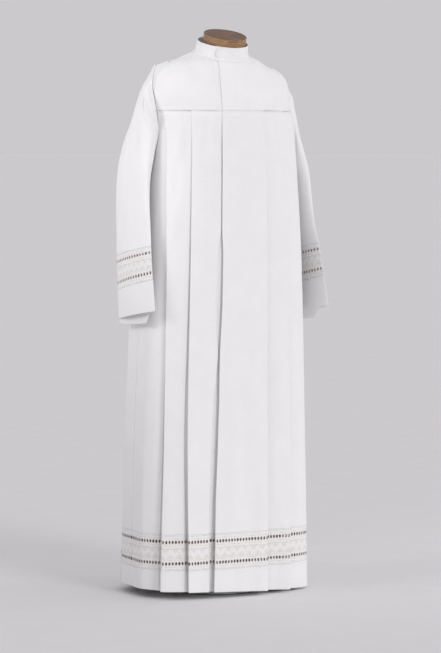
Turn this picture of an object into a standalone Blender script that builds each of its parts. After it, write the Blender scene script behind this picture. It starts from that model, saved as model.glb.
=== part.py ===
"""Pleated alb robe on a limbless dress form, in metres, +Z up.

The front of the robe faces -Y and the wearer's left is +X. The origin is the centre of the stand's foot,
on the floor. Every cloth piece is a closed wall of one thickness. Below the yoke it follows the robe's
horizontal sections with the knife pleats laid on them. The yoke runs from the neck ring to the top section.
The sleeves are flattened tubes that start at the armholes.
"""

import math

import bpy
import numpy as np

MM = 0.001

# Cloth and seams
WALL = 1.2 * MM
LAYER = 2.2 * MM
SEAM = 0.3 * MM
SHARPEST_MITRE = 0.35

# Heights of the seams and edges
YOKE_SEAM_Z = 1.318
INSERTION_TOP_Z = 0.177
INSERTION_END_Z = 0.079
HEM_Z = 0.010

# Horizontal sections of the robe, without its pleats
# height, half width, front, back, squareness
SECTIONS = np.array([
    (1.318, 0.205, -0.162, 0.112, 2.6),
    (1.196, 0.208, -0.163, 0.122, 2.9),
    (1.040, 0.217, -0.161, 0.135, 3.3),
    (0.920, 0.226, -0.159, 0.145, 3.4),
    (0.726, 0.236, -0.157, 0.160, 3.3),
    (0.390, 0.248, -0.153, 0.177, 3.2),
    (0.010, 0.252, -0.150, 0.188, 3.2),
])

# Knife pleats, each with its outer edge turned away from the centre, in millimetres from the centre line
# edge at yoke, edge at hem, stand at hem, fold under at yoke, fold under at hem, sink at hem
RIGHT_PLEATS = ((137, 156, 12, 36, 28, 10), (187, 218, 11, 34, 32, 12))
LEFT_PLEATS = ((62, 81, 12, 36, 30, 10), (132, 147, 12, 34, 28, 10), (187, 227, 8, 34, 32, 14))
BACK_PLEATS = ((62, 84, 12, 36, 30, 10), (128, 156, 12, 34, 28, 10), (184, 216, 10, 34, 32, 14))
PLEAT_OPENING_POWER = 1.25
BACK_CENTRE_SINK = 0.6

# Front opening: distances from the centre line to the wearer's right, and layers below the surface
# distance at yoke, distance at hem, layers under at yoke, depth at hem
UNDERLAP = ((22, 44, -3, -16), (63, 92, -3, -13), (64.5, 95, -2, 2))
OVERLAP = ((30, 52, -1, -6), (61.5, 82, -1, 2), (61.5, 82, 0, 4.2))

# Armholes: upright ovals at the sides
ARMHOLE_Y = -0.025
ARMHOLE_HALF_DEPTH = 0.052
ARMHOLE_RISE = 0.107
ARMHOLE_DROP = 0.125

# Neck: a ring tilted forward, with the collar standing on it
NECK_CENTRE = np.array((0.0, -0.032, 1.470))
NECK_TILT = math.radians(15)
NECK_RADIUS = 0.0745
COLLAR_RINGS = ((0.0011, 0.0750), (0.010, 0.0730), (0.035, 0.0712))
COLLAR_OVER_END = -41
COLLAR_UNDER_END = -14
COLLAR_COLUMNS = 43
COLLAR_EASE_LEAD = 14
COLLAR_EASE_LENGTH = 9
SHOULDER_DROP = 0.030
YOKE_ROUNDNESS_FRONT = 1.35
YOKE_ROUNDNESS_SIDE = 4.2
YOKE_ROUNDNESS_BACK = 1.6
NECK_FAN = 2.15
UNDERLAP_LEAD = math.radians(7)
UNDERLAP_EASE = math.radians(5)

# Sleeves, from the armhole to the cuff's edge
# outer x of the right sleeve, outer x of the left one, outer z, inner x, inner z, centre y, half depth, tilt
SLEEVE_STATIONS = np.array([
    (0.2230, 0.2120, 1.384, 0.2105, 1.186, -0.018, 0.060, 0),
    (0.2400, 0.2260, 1.314, 0.2120, 1.171, -0.008, 0.072, 0),
    (0.2590, 0.2460, 1.236, 0.2150, 1.146, 0.004, 0.084, 0),
    (0.2710, 0.2660, 1.166, 0.2175, 1.116, 0.010, 0.092, 0),
    (0.2760, 0.2770, 1.081, 0.2210, 1.061, 0.010, 0.097, 2),
    (0.2790, 0.2860, 0.996, 0.2250, 0.991, 0.002, 0.098, 6),
    (0.2840, 0.2940, 0.934, 0.2310, 0.934, -0.010, 0.098, 10),
    (0.2880, 0.3010, 0.856, 0.2350, 0.856, -0.024, 0.098, 11),
    (0.2920, 0.3040, 0.768, 0.2390, 0.768, -0.043, 0.098, 9),
])
SLEEVE_COLUMNS = 24
SLEEVE_ROWS_BODY = 6
SLEEVE_ROW_INSERTION = 7

# Dress form: sections under the chest, then the stand
# height, half width, front, back
TORSO_SECTIONS = (
    (1.230, 0.180, -0.148, 0.094),
    (1.130, 0.168, -0.142, 0.092),
    (1.010, 0.140, -0.114, 0.084),
    (0.920, 0.156, -0.118, 0.102),
    (0.855, 0.160, -0.118, 0.108),
    (0.842, 0.150, -0.108, 0.098),
)
TORSO_SQUARENESS = 2.3
FORM_COLUMNS = 40
FORM_YOKE_STEPS = (0.0, 0.12, 0.24, 0.36, 0.48, 0.60, 0.72, 0.86, 1.0)
FORM_GAP = 1.3 * MM
FORM_GAP_FRONT = 3.5 * MM
FORM_GAP_BACK = 1.4 * MM
FORM_CHEST_INSET = 10 * MM
FORM_SIDE_INSET = 7 * MM
FORM_NECK_INSET = 1.5 * MM
FORM_NECK_RINGS = ((0.024, 0.0600), (0.006, 0.0650))
CAP_RADIUS = 0.0586
CAP_THICKNESS = 0.022
CAP_TILT = math.radians(17)
CAP_TOP = np.array((0.0, -0.056, 1.5235))
POLE_RADIUS = 0.0125
BASE_RADIUS = 0.122
BASE_HEIGHT = 0.016

# How finely the pieces are divided
ROWS_BODY = 7
ROWS_YOKE = 6
SIDE_STEPS = 4
PLEAT_GAP_STEPS = 2
PANEL_STEPS = 4
RIGHT_YOKE_COLUMNS = 10
LEFT_YOKE_COLUMNS = 13
BACK_YOKE_COLUMNS = 19


def clear_scene():
    for obj in list(bpy.data.objects):
        bpy.data.objects.remove(obj)


def make_material(name, colour, roughness, metallic=0.0):
    material = bpy.data.materials.new(name)
    material.use_nodes = True
    shader = material.node_tree.nodes["Principled BSDF"]
    shader.inputs["Base Color"].default_value = (*colour, 1.0)
    shader.inputs["Roughness"].default_value = roughness
    shader.inputs["Metallic"].default_value = metallic
    return material


def add_mesh(name, points, faces, material):
    """One named object from points and faces, shaded smooth with its real edges kept sharp."""
    mesh = bpy.data.meshes.new(name)
    mesh.from_pydata([tuple(p) for p in points], [], faces)
    mesh.shade_smooth()
    mesh.set_sharp_from_angle(angle=math.radians(40))
    mesh.materials.append(material)
    obj = bpy.data.objects.new(name, mesh)
    bpy.context.collection.objects.link(obj)
    return obj


# ---- Walls ----

def wall_faces(rows, columns, closed):
    """Faces of a wall whose outer points come first, then its inner points, row by row."""
    count = rows * columns
    last = columns if closed else columns - 1
    faces = []
    for i in range(rows - 1):
        for j in range(last):
            k = (j + 1) % columns
            a, b = i * columns + j, i * columns + k
            c, d = a + columns, b + columns
            faces.append((a, c, d, b))
            faces.append((count + a, count + b, count + d, count + c))
    for j in range(last):
        k = (j + 1) % columns
        faces.append((j, k, count + k, count + j))
        low, low_next = (rows - 1) * columns + j, (rows - 1) * columns + k
        faces.append((low, count + low, count + low_next, low_next))
    if not closed:
        for i in range(rows - 1):
            a, c = i * columns, (i + 1) * columns
            faces.append((a, count + a, count + c, c))
            b, d = a + columns - 1, c + columns - 1
            faces.append((b, d, count + d, count + b))
    return faces


def add_wall(name, grid, shifts, material, closed=False):
    """A closed wall from a grid of middle points (rows down, columns towards +X) and half-thickness shifts."""
    rows, columns = grid.shape[:2]
    points = np.concatenate([(grid + shifts).reshape(-1, 3), (grid - shifts).reshape(-1, 3)])
    return add_mesh(name, points, wall_faces(rows, columns, closed), material)


def grid_normals(grid, closed):
    """Unit normals of a grid whose rows run down and whose columns run towards +X, seen from outside."""
    if closed:
        across = np.roll(grid, -1, axis=1) - np.roll(grid, 1, axis=1)
    else:
        across = np.gradient(grid, axis=1)
    down = np.gradient(grid, axis=0)
    normals = np.cross(down, across)
    return normals / np.linalg.norm(normals, axis=2, keepdims=True)


# ---- Horizontal sections below the yoke ----

def section_at(z):
    """Half width, middle y, half depth and squareness of the robe at a height."""
    order = SECTIONS[::-1]
    width, front, back, square = (np.interp(z, order[:, 0], order[:, i]) for i in range(1, 5))
    return width, (front + back) / 2, (back - front) / 2, square


def outline_point(z, angle, depth=0.0):
    """A point of the section at this angle from the front towards +X, moved outwards by depth."""
    width, middle, half_depth, square = section_at(z)
    side, front = math.sin(angle), math.cos(angle)
    reach = ((abs(side) / width) ** square + (abs(front) / half_depth) ** square) ** (-1 / square)
    x, y = reach * side, -reach * front
    normal = np.array((
        math.copysign((abs(x) / width) ** (square - 1) / width, x),
        math.copysign((abs(y) / half_depth) ** (square - 1) / half_depth, y),
    ))
    normal /= np.linalg.norm(normal)
    return np.array((x, y + middle)) + normal * depth


def angle_at(z, x, back=False):
    """The angle at which the section reaches this distance from the centre line."""
    width, _, half_depth, square = section_at(z)
    y = half_depth * (1 - (abs(x) / width) ** square) ** (1 / square)
    return math.atan2(x, -y if back else y)


def opened(z):
    """How far the pleats have opened at a height, from 0 at the yoke to 1 at the hem."""
    share = np.clip((YOKE_SEAM_Z - z) / (YOKE_SEAM_Z - HEM_Z), 0, 1)
    return share ** PLEAT_OPENING_POWER


def between(at_yoke, at_hem, share):
    return (at_yoke + (at_hem - at_yoke) * share) * MM


def pleat_stations(z, pleat):
    """Distance from the centre and depth at the five turns of one knife pleat, from the centre outwards."""
    edge_yoke, edge_hem, stand, under_yoke, under_hem, sink = pleat
    share = opened(z)
    edge = between(edge_yoke, edge_hem, share)
    inner = edge - between(under_yoke, under_hem, share)
    top = stand * MM * share
    low = -2 * LAYER - sink * MM * share
    return [(edge, top), (edge, top - LAYER), (inner, low + LAYER), (inner, low), (edge, low)]


def opening_stations(z, rows):
    """Distance and depth at the turns of one edge of the front opening."""
    share = opened(z)
    return [
        (between(near, far, share), layers * LAYER * (1 - share) + depth * MM * share)
        for near, far, layers, depth in rows
    ]


def armhole_corner():
    """The angle at which the armhole starts on the yoke seam."""
    return math.pi / 2 - angle_from_side(ARMHOLE_HALF_DEPTH)


def angle_from_side(depth):
    """The angle between straight sideways and the section's point this far in front of the side."""
    width, _, half_depth, square = section_at(YOKE_SEAM_Z)
    x = width * (1 - (depth / half_depth) ** square) ** (1 / square)
    return math.atan2(depth, x)


def subdivided(stations, steps):
    """Stations (angle, depth) with extra ones spread evenly along each stretch."""
    path = [stations[0]]
    for (angle_a, depth_a), (angle_b, depth_b), count in zip(stations, stations[1:], steps):
        for k in range(1, count + 1):
            share = k / count
            path.append((angle_a + (angle_b - angle_a) * share, depth_a + (depth_b - depth_a) * share))
    return path


def side_stations(side):
    """From the armhole's corner to the side seam."""
    return [(side * armhole_corner(), 0.0), (side * math.pi / 2, 0.0)]


def front_path(z, side, edge_rows, pleats, panel_steps):
    """The cloth of one front, from the opening on the wearer's right to the side seam."""
    stations = [(angle_at(z, -x), depth) for x, depth in opening_stations(z, edge_rows)]
    steps = [1] * (len(edge_rows) - 1)
    gap_steps = panel_steps
    for pleat in pleats:
        steps += [gap_steps, 1, 1, 1, 1]
        stations += [(angle_at(z, side * x), depth) for x, depth in pleat_stations(z, pleat)]
        gap_steps = PLEAT_GAP_STEPS
    stations += side_stations(side)
    return subdivided(stations, steps + [1, SIDE_STEPS])


def half_back_path(z, side):
    """Half of the back, from just beside the centre line to the side seam."""
    stations = []
    steps = []
    for pleat in BACK_PLEATS:
        steps += [PLEAT_GAP_STEPS, 1, 1, 1, 1]
        stations += [(angle_at(z, side * x, back=True), depth) for x, depth in pleat_stations(z, pleat)]
    corner = side * (math.pi - armhole_corner())
    stations += [(corner, 0.0), (side * math.pi / 2, 0.0)]
    return subdivided(stations, steps[1:] + [1, SIDE_STEPS])


def right_front_path(z):
    return front_path(z, -1, UNDERLAP, RIGHT_PLEATS, PLEAT_GAP_STEPS)[::-1]


def left_front_path(z):
    return front_path(z, 1, OVERLAP, LEFT_PLEATS, PANEL_STEPS)


def back_path(z):
    """From the left side seam round the back to the right side seam."""
    left = half_back_path(z, 1)[::-1]
    right = [(angle + 2 * math.pi, depth) for angle, depth in half_back_path(z, -1)]
    middle = (math.pi, left[-1][1] * BACK_CENTRE_SINK)
    return left + [middle] + right


def path_points(path, z, seam_shift):
    """Plan points of a path at a height, its side seam ends drawn back by half the seam gap."""
    points = np.array([outline_point(z, angle, depth) for angle, depth in path])
    for end in (0, -1):
        if abs(abs(math.sin(path[end][0])) - 1) < 1e-9:
            points[end, 1] += seam_shift
    return points


def plan_shifts(points):
    """Half-thickness shifts of a plan line, mitred at its corners and pointing out of the robe."""
    runs = np.diff(points, axis=0)
    runs /= np.linalg.norm(runs, axis=1, keepdims=True)
    sides = np.column_stack([runs[:, 1], -runs[:, 0]])
    before = np.vstack([sides[:1], sides])
    after = np.vstack([sides, sides[-1:]])
    mitres = before + after
    mitres /= np.linalg.norm(mitres, axis=1, keepdims=True)
    stretch = np.maximum(np.sum(mitres * after, axis=1), SHARPEST_MITRE)
    return mitres / stretch[:, None] * WALL / 2


def armhole_bottom(y):
    """Height of the body's top edge at this y: the yoke seam, or the lower half of the armhole."""
    across = (y - ARMHOLE_Y) / ARMHOLE_HALF_DEPTH
    if abs(across) >= 1:
        return YOKE_SEAM_Z
    return YOKE_SEAM_Z - ARMHOLE_DROP * math.sqrt(1 - across ** 2)


def body_tops(path_of, seam_shift):
    """Height of the top edge of each column of a body piece."""
    path = path_of(YOKE_SEAM_Z)
    points = path_points(path, YOKE_SEAM_Z, seam_shift)
    at_side = [abs(math.cos(angle)) < math.cos(armhole_corner()) - 1e-9 for angle, _ in path]
    return [armhole_bottom(y) if side else YOKE_SEAM_Z for (_, y), side in zip(points, at_side)]


def skirt_grid(path_of, tops, bottom, rows, seam_shift):
    """Middle points and shifts of a piece of skirt between its top heights and one lower height."""
    grid = np.zeros((rows + 1, len(tops), 3))
    shifts = np.zeros_like(grid)
    for i in range(rows + 1):
        for j, top in enumerate(tops):
            z = top + (bottom - top) * i / rows
            points = path_points(path_of(z), z, seam_shift)
            grid[i, j] = (*points[j], z)
            shifts[i, j, :2] = plan_shifts(points)[j]
    return grid, shifts


def add_skirt(label, path_of, seam_shift, cloth, lace):
    """The plain body, the openwork insertion and the hem border of one front or of the back."""
    tops = [top - SEAM / 2 for top in body_tops(path_of, seam_shift)]
    body = skirt_grid(path_of, tops, INSERTION_TOP_Z, ROWS_BODY, seam_shift)
    add_wall(label, *body, cloth)
    flat = [INSERTION_TOP_Z - SEAM] * len(tops)
    add_wall(f"lace_{label}", *skirt_grid(path_of, flat, INSERTION_END_Z, 1, seam_shift), lace)
    flat = [INSERTION_END_Z - SEAM] * len(tops)
    add_wall(f"hem_{label}", *skirt_grid(path_of, flat, HEM_Z, 1, seam_shift), cloth)
    return body[0][0]


# ---- Neck, yoke and collar ----

def neck_point(angle, radius, height):
    """A point on a ring about the tilted neck, at an angle from the front towards +X."""
    axis = np.array((0.0, -math.sin(NECK_TILT), math.cos(NECK_TILT)))
    forward = np.array((0.0, -math.cos(NECK_TILT), -math.sin(NECK_TILT)))
    sideways = np.array((1.0, 0.0, 0.0))
    return NECK_CENTRE + radius * (math.sin(angle) * sideways + math.cos(angle) * forward) + height * axis


def neck_angle(angle):
    """Where a line of the yoke that ends at this angle on the yoke seam starts on the neck ring."""
    turned = math.remainder(angle, 2 * math.pi)
    quarter = math.pi / 2
    size = abs(turned)
    from_centre = size if size <= quarter else math.pi - size
    fan = quarter * (1 - (1 - from_centre / quarter) ** NECK_FAN)
    return math.copysign(fan if size <= quarter else math.pi - fan, turned)


def yoke_point(angle, share):
    """A point of the yoke's surface, from the neck ring at share 0 to the yoke seam at share 1."""
    start = neck_point(neck_angle(angle), NECK_RADIUS, 0.0)
    x, y = outline_point(YOKE_SEAM_Z, angle)
    centre_round = YOKE_ROUNDNESS_FRONT if math.cos(angle) > 0 else YOKE_ROUNDNESS_BACK
    sideways = math.sin(angle) ** 4
    roundness = centre_round + (YOKE_ROUNDNESS_SIDE - centre_round) * sideways
    out, up = math.sin(share * math.pi / 2), max(math.cos(share * math.pi / 2), 0.0)
    size = (out ** roundness + up ** roundness) ** (-1 / roundness)
    out, up = out * size, up * size
    rise = start[2] - YOKE_SEAM_Z - SHOULDER_DROP * sideways * out
    plan = start[:2] + (np.array((x, y)) - start[:2]) * out
    return np.array((*plan, YOKE_SEAM_Z + rise * up))


def yoke_normal(angle, share):
    step = 0.01
    share = min(max(share, 0.03), 0.985)
    down = yoke_point(angle, share + step) - yoke_point(angle, share - step)
    across = yoke_point(angle + step, share) - yoke_point(angle - step, share)
    normal = np.cross(down, across)
    return normal / np.linalg.norm(normal)


def yoke_end(angle):
    """How far down the yoke runs at this angle: to its seam, or to the armhole."""
    def inside(share):
        _, y, z = yoke_point(angle, share)
        across = (y - ARMHOLE_Y) / ARMHOLE_HALF_DEPTH
        return across ** 2 + ((z - YOKE_SEAM_Z) / ARMHOLE_RISE) ** 2 < 1

    if abs(math.cos(angle)) >= math.cos(armhole_corner()) - 1e-9:
        return 1.0
    low, high = 0.0, 1.0
    for _ in range(30):
        middle = (low + high) / 2
        low, high = (low, middle) if inside(middle) else (middle, high)
    return high


def add_yoke(name, angles, underlap_to, seam_shift, material):
    """One piece of the yoke, its underlap sunk by a layer, its shoulder ends drawn back from the seam."""
    grid = np.zeros((ROWS_YOKE + 1, len(angles), 3))
    shifts = np.zeros_like(grid)
    for j, angle in enumerate(angles):
        sunk = 0.0
        if underlap_to is not None:
            sunk = np.clip((abs(underlap_to) + UNDERLAP_LEAD - abs(angle)) / UNDERLAP_EASE, 0, 1)
        end = yoke_end(angle)
        at_shoulder = abs(math.cos(angle)) < 1e-9
        for i in range(ROWS_YOKE + 1):
            share = end * i / ROWS_YOKE
            normal = yoke_normal(angle, share)
            grid[i, j] = yoke_point(angle, share) - normal * LAYER * sunk
            grid[i, j, 1] += seam_shift if at_shoulder else 0
            grid[i, j, 2] = max(grid[i, j, 2], YOKE_SEAM_Z + SEAM / 2)
            shifts[i, j] = normal * WALL / 2
            if share == 1.0:
                shifts[i, j, 2] = 0
    add_wall(name, grid, shifts, material)
    return grid[-1]


def collar_radius_shift(angle):
    """How far the collar is drawn in: a full layer under the overlap, nothing elsewhere."""
    under_from = 360 + COLLAR_OVER_END - COLLAR_EASE_LEAD
    return LAYER * np.clip((angle - under_from) / COLLAR_EASE_LENGTH, 0, 1)


def add_collar(material):
    """The stand collar, from its over end round the back of the neck to the end beneath it."""
    angles = np.linspace(COLLAR_OVER_END, 360 + COLLAR_UNDER_END, COLLAR_COLUMNS)
    grid = np.array([
        [neck_point(math.radians(a), radius - collar_radius_shift(a), height) for a in angles]
        for height, radius in COLLAR_RINGS[::-1]
    ])
    add_wall("collar", grid, grid_normals(grid, False) * WALL / 2, material)


# ---- Sleeves ----

def armhole_loop(edges):
    """The armhole's points of one side as arrays by angle: 0 at the shoulder, turning towards the back."""
    points = np.concatenate(edges)
    turned = np.arctan2(
        (points[:, 1] - ARMHOLE_Y) / ARMHOLE_HALF_DEPTH,
        (points[:, 2] - YOKE_SEAM_Z) / np.where(points[:, 2] > YOKE_SEAM_Z, ARMHOLE_RISE, ARMHOLE_DROP),
    )
    order = np.argsort(turned)
    return turned[order], points[order]


def sleeve_ring(station, side, columns):
    """One flattened ring: outer point first, then round by the back."""
    right_x, left_x, outer_z, inner_x, inner_z, middle_y, half_depth, tilt = station
    outer = np.array((side * (left_x if side > 0 else right_x), middle_y, outer_z))
    inner = np.array((side * inner_x, middle_y, inner_z))
    centre, reach = (outer + inner) / 2, (outer - inner) / 2
    tilt = math.radians(tilt)
    depth = half_depth * np.array((0.0, math.cos(tilt), -math.sin(tilt)))
    turns = np.linspace(0, 2 * math.pi, columns, endpoint=False)
    return np.array([centre + reach * math.cos(t) + depth * math.sin(t) for t in turns])


def add_sleeve(label, side, edges, cloth, lace):
    """Sleeve, openwork insertion and cuff border of one arm."""
    turned, points = armhole_loop(edges)
    turns = np.linspace(0, 2 * math.pi, SLEEVE_COLUMNS, endpoint=False)
    first = np.column_stack([np.interp(turns, turned, points[:, i], period=2 * math.pi) for i in range(3)])
    first[:, 0] += side * (WALL + SEAM)
    rings = [first] + [sleeve_ring(station, side, SLEEVE_COLUMNS) for station in SLEEVE_STATIONS]
    grid = np.array(rings)
    if side > 0:
        grid = np.roll(grid[:, ::-1], 1, axis=1)
    shifts = grid_normals(grid, True) * WALL / 2
    ends = (SLEEVE_ROWS_BODY + 1, SLEEVE_ROW_INSERTION + 1)
    seam = np.array((0.0, 0.0, SEAM))
    add_wall(f"sleeve_{label}", grid[:ends[0] + 1], shifts[:ends[0] + 1], cloth, closed=True)
    band, band_shifts = grid[ends[0]:ends[1] + 1].copy(), shifts[ends[0]:ends[1] + 1]
    band[0] -= seam
    add_wall(f"sleeve_lace_{label}", band, band_shifts, lace, closed=True)
    cuff, cuff_shifts = grid[ends[1]:].copy(), shifts[ends[1]:]
    cuff[0] -= seam
    add_wall(f"cuff_{label}", cuff, cuff_shifts, cloth, closed=True)


# ---- Dress form and stand ----

def cap_axis():
    return np.array((0.0, -math.sin(CAP_TILT), math.cos(CAP_TILT)))


def form_neck_rings(angles):
    """The neck under the cap: its tilted top ring, then rings down to the shoulders."""
    forward = np.array((0.0, -math.cos(CAP_TILT), -math.sin(CAP_TILT)))
    top = CAP_TOP - cap_axis() * (CAP_THICKNESS + SEAM)
    radius = CAP_RADIUS - FORM_NECK_INSET
    turns = [neck_angle(angle) for angle in angles]
    rings = [[top + radius * (math.sin(a) * np.array((1, 0, 0)) + math.cos(a) * forward) for a in turns]]
    rings += [[neck_point(a, r, h) for a in turns] for h, r in FORM_NECK_RINGS]
    return rings


def form_inset(angle, share):
    """How far the form lies under the yoke: just clear at the shoulders, further at the chest."""
    ahead = math.cos(angle)
    near = FORM_GAP + (FORM_GAP_FRONT if ahead > 0 else FORM_GAP_BACK) * ahead ** 2
    far = FORM_CHEST_INSET + FORM_SIDE_INSET * math.sin(angle) ** 4
    ease = share * share * (3 - 2 * share)
    return near + (far - near) * ease


def torso_ring(row, angles):
    z, width, front, back = row
    middle, half_depth = (front + back) / 2, (back - front) / 2
    ring = []
    for angle in angles:
        side, ahead = math.sin(angle), math.cos(angle)
        reach = (abs(side) / width) ** TORSO_SQUARENESS + (abs(ahead) / half_depth) ** TORSO_SQUARENESS
        reach **= -1 / TORSO_SQUARENESS
        ring.append((reach * side, middle - reach * ahead, z))
    return ring


def add_bust(material):
    angles = np.linspace(0, 2 * math.pi, FORM_COLUMNS, endpoint=False)
    rings = form_neck_rings(angles)
    for share in FORM_YOKE_STEPS:
        rings.append([
            yoke_point(a, share) - yoke_normal(a, share) * form_inset(a, share) for a in angles
        ])
    rings += [torso_ring(row, angles) for row in TORSO_SECTIONS]
    points = np.array(rings).reshape(-1, 3)
    count = FORM_COLUMNS
    faces = []
    for i in range(len(rings) - 1):
        for j in range(count):
            a, b = i * count + j, i * count + (j + 1) % count
            faces.append((a, a + count, b + count, b))
    faces.append(tuple(range(count)))
    last = (len(rings) - 1) * count
    faces.append(tuple(last + j for j in reversed(range(count))))
    add_mesh("form_bust", points, faces, material)


def add_disc(name, radius, height, centre, tilt, bevel, material, sides=48):
    """A round piece with eased edges."""
    bpy.ops.mesh.primitive_cylinder_add(
        vertices=sides, radius=radius, depth=height, location=centre, rotation=(tilt, 0, 0)
    )
    obj = bpy.context.object
    obj.name = name
    obj.data.name = name
    obj.data.materials.append(material)
    obj.data.shade_smooth()
    obj.data.set_sharp_from_angle(angle=math.radians(40))
    if bevel:
        edge = obj.modifiers.new("eased_edge", "BEVEL")
        edge.width = bevel
        edge.segments = 2
        edge.limit_method = "ANGLE"
    return obj


def add_stand(wood, steel):
    add_disc("form_neck_cap", CAP_RADIUS, CAP_THICKNESS, CAP_TOP - cap_axis() * CAP_THICKNESS / 2,
             CAP_TILT, 1.2 * MM, wood)
    add_disc("stand_base", BASE_RADIUS, BASE_HEIGHT, (0, 0, BASE_HEIGHT / 2), 0, 3 * MM, steel)
    low = BASE_HEIGHT + SEAM
    high = TORSO_SECTIONS[-1][0] - SEAM
    add_disc("stand_pole", POLE_RADIUS, high - low, (0, 0, (low + high) / 2), 0, 0, steel, sides=24)


def run_on(*stretches):
    """Evenly spaced values through stretches (from, to, count) that share their ends."""
    values = [stretches[0][0]]
    for start, end, count in stretches:
        values += list(np.linspace(start, end, count))[1:]
    return values


def build():
    clear_scene()
    cloth = make_material("alb_cloth", (0.85, 0.85, 0.87), 0.85)
    lace = make_material("alb_openwork", (0.82, 0.79, 0.76), 0.85)
    form = make_material("form_cover", (0.75, 0.70, 0.62), 0.9)
    wood = make_material("cap_wood", (0.22, 0.14, 0.09), 0.55)
    steel = make_material("stand_steel", (0.35, 0.35, 0.36), 0.4, 1.0)

    right = add_skirt("front_right", right_front_path, -SEAM / 2, cloth, lace)
    left = add_skirt("front_left", left_front_path, -SEAM / 2, cloth, lace)
    back = add_skirt("back", back_path, SEAM / 2, cloth, lace)

    opening = angle_at(YOKE_SEAM_Z, -OVERLAP[1][0] * MM)
    underlap = angle_at(YOKE_SEAM_Z, -UNDERLAP[0][0] * MM)
    quarter = math.pi / 2
    corner = armhole_corner()
    armhole = SIDE_STEPS + 1
    right_angles = run_on((-quarter, -corner, armhole), (-corner, underlap, RIGHT_YOKE_COLUMNS))
    left_angles = run_on((opening, corner, LEFT_YOKE_COLUMNS), (corner, quarter, armhole))
    back_angles = run_on((quarter, math.pi - corner, armhole),
                         (math.pi - corner, math.pi + corner, BACK_YOKE_COLUMNS),
                         (math.pi + corner, 3 * quarter, armhole))
    yoke_right = add_yoke("yoke_front_right", right_angles, opening, -SEAM / 2, cloth)
    yoke_left = add_yoke("yoke_front_left", left_angles, None, -SEAM / 2, cloth)
    yoke_back = add_yoke("yoke_back", back_angles, None, SEAM / 2, cloth)
    add_collar(cloth)

    right_edges = [row[:armhole] for row in (right, yoke_right)] + [row[-armhole:] for row in (back, yoke_back)]
    left_edges = [row[-armhole:] for row in (left, yoke_left)] + [row[:armhole] for row in (back, yoke_back)]
    add_sleeve("right", -1, right_edges, cloth, lace)
    add_sleeve("left", 1, left_edges, cloth, lace)

    add_bust(form)
    add_stand(wood, steel)


build()
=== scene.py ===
import math

import bpy
import numpy as np
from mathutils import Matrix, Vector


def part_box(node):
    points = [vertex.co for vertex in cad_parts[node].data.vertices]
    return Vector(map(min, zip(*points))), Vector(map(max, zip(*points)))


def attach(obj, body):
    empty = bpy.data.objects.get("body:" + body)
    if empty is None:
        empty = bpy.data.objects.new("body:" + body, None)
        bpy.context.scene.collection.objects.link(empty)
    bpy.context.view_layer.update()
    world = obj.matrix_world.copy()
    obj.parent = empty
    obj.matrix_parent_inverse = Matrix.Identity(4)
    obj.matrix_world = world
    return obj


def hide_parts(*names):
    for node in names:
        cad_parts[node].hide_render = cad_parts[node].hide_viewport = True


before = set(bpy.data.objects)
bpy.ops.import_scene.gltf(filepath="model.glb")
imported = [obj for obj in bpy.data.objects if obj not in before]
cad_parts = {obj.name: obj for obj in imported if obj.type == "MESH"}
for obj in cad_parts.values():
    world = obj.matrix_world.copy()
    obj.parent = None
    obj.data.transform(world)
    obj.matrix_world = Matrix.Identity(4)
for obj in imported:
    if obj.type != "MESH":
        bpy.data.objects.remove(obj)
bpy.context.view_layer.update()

# Studio: a seamless pale floor in an even grey room, with a soft key lamp ahead on the wearer's left, a
# weaker fill on the wearer's right, and the camera standing back towards the wearer's right.
MM = 0.001
ROOM_GREY = "#CBC9CB"
VIEW_TURN = math.radians(27)
VIEW_DISTANCE = 8.0
VIEW_HEIGHT = 1.281
VIEW_TARGET = (0.0110, -0.0056, 0.726)
LENS = 160.8
LAMPS = (
    # name, turn towards the wearer's left, elevation, strength, softness, colour (degrees)
    ("key_lamp", 12, 17, 0.80, 20, "#FFFEFC"),
    ("fill_lamp", 68, 14, 0.28, 50, "#FBFCFF"),
)
SOFT_BOX_SIZE = (0.9, 0.9)
SOFT_BOX_POWER = 1.05
SOFT_BOX_PLACE = (-1.70, -0.10, 1.75)
SOFT_BOX_TURN = (math.radians(68), 0, math.radians(-90))
SOFT_BOX_SPREAD = math.radians(44)
FLOOR_RADIUS = 120.0


def linear(colour):
    """An sRGB hex colour as linear red, green, blue and full opacity."""
    parts = [int(colour[i:i + 2], 16) / 255 for i in (1, 3, 5)]
    return (*[c / 12.92 if c <= 0.04045 else ((c + 0.055) / 1.055) ** 2.4 for c in parts], 1.0)


def add_node(tree, kind, settings=(), inputs=()):
    """One node with its settings, and its inputs set to values or linked to sockets."""
    made = tree.nodes.new(kind)
    for name, value in dict(settings).items():
        setattr(made, name, value)
    for name, value in dict(inputs).items():
        if isinstance(value, bpy.types.NodeSocket):
            tree.links.new(value, made.inputs[name])
        else:
            made.inputs[name].default_value = value
    return made


def new_material(name):
    """A material with its node tree and its surface shader."""
    made = bpy.data.materials.new(name)
    made.use_nodes = True
    return made, made.node_tree, made.node_tree.nodes["Principled BSDF"]


def ramp_between(tree, factor, stops):
    """A colour ramp through (position, hex colour) stops."""
    made = add_node(tree, "ShaderNodeValToRGB", inputs={"Fac": factor})
    elements = made.color_ramp.elements
    while len(elements) < len(stops):
        elements.new(0.5)
    for element, (position, colour) in zip(elements, stops):
        element.position = position
        element.color = linear(colour)
    return made.outputs["Color"]


def add_relief(tree, shader, height, strength, distance):
    """A bump from a height socket, joined to the shader."""
    bump = add_node(tree, "ShaderNodeBump", inputs={
        "Strength": strength, "Distance": distance, "Height": height})
    tree.links.new(bump.outputs["Normal"], shader.inputs["Normal"])


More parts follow.
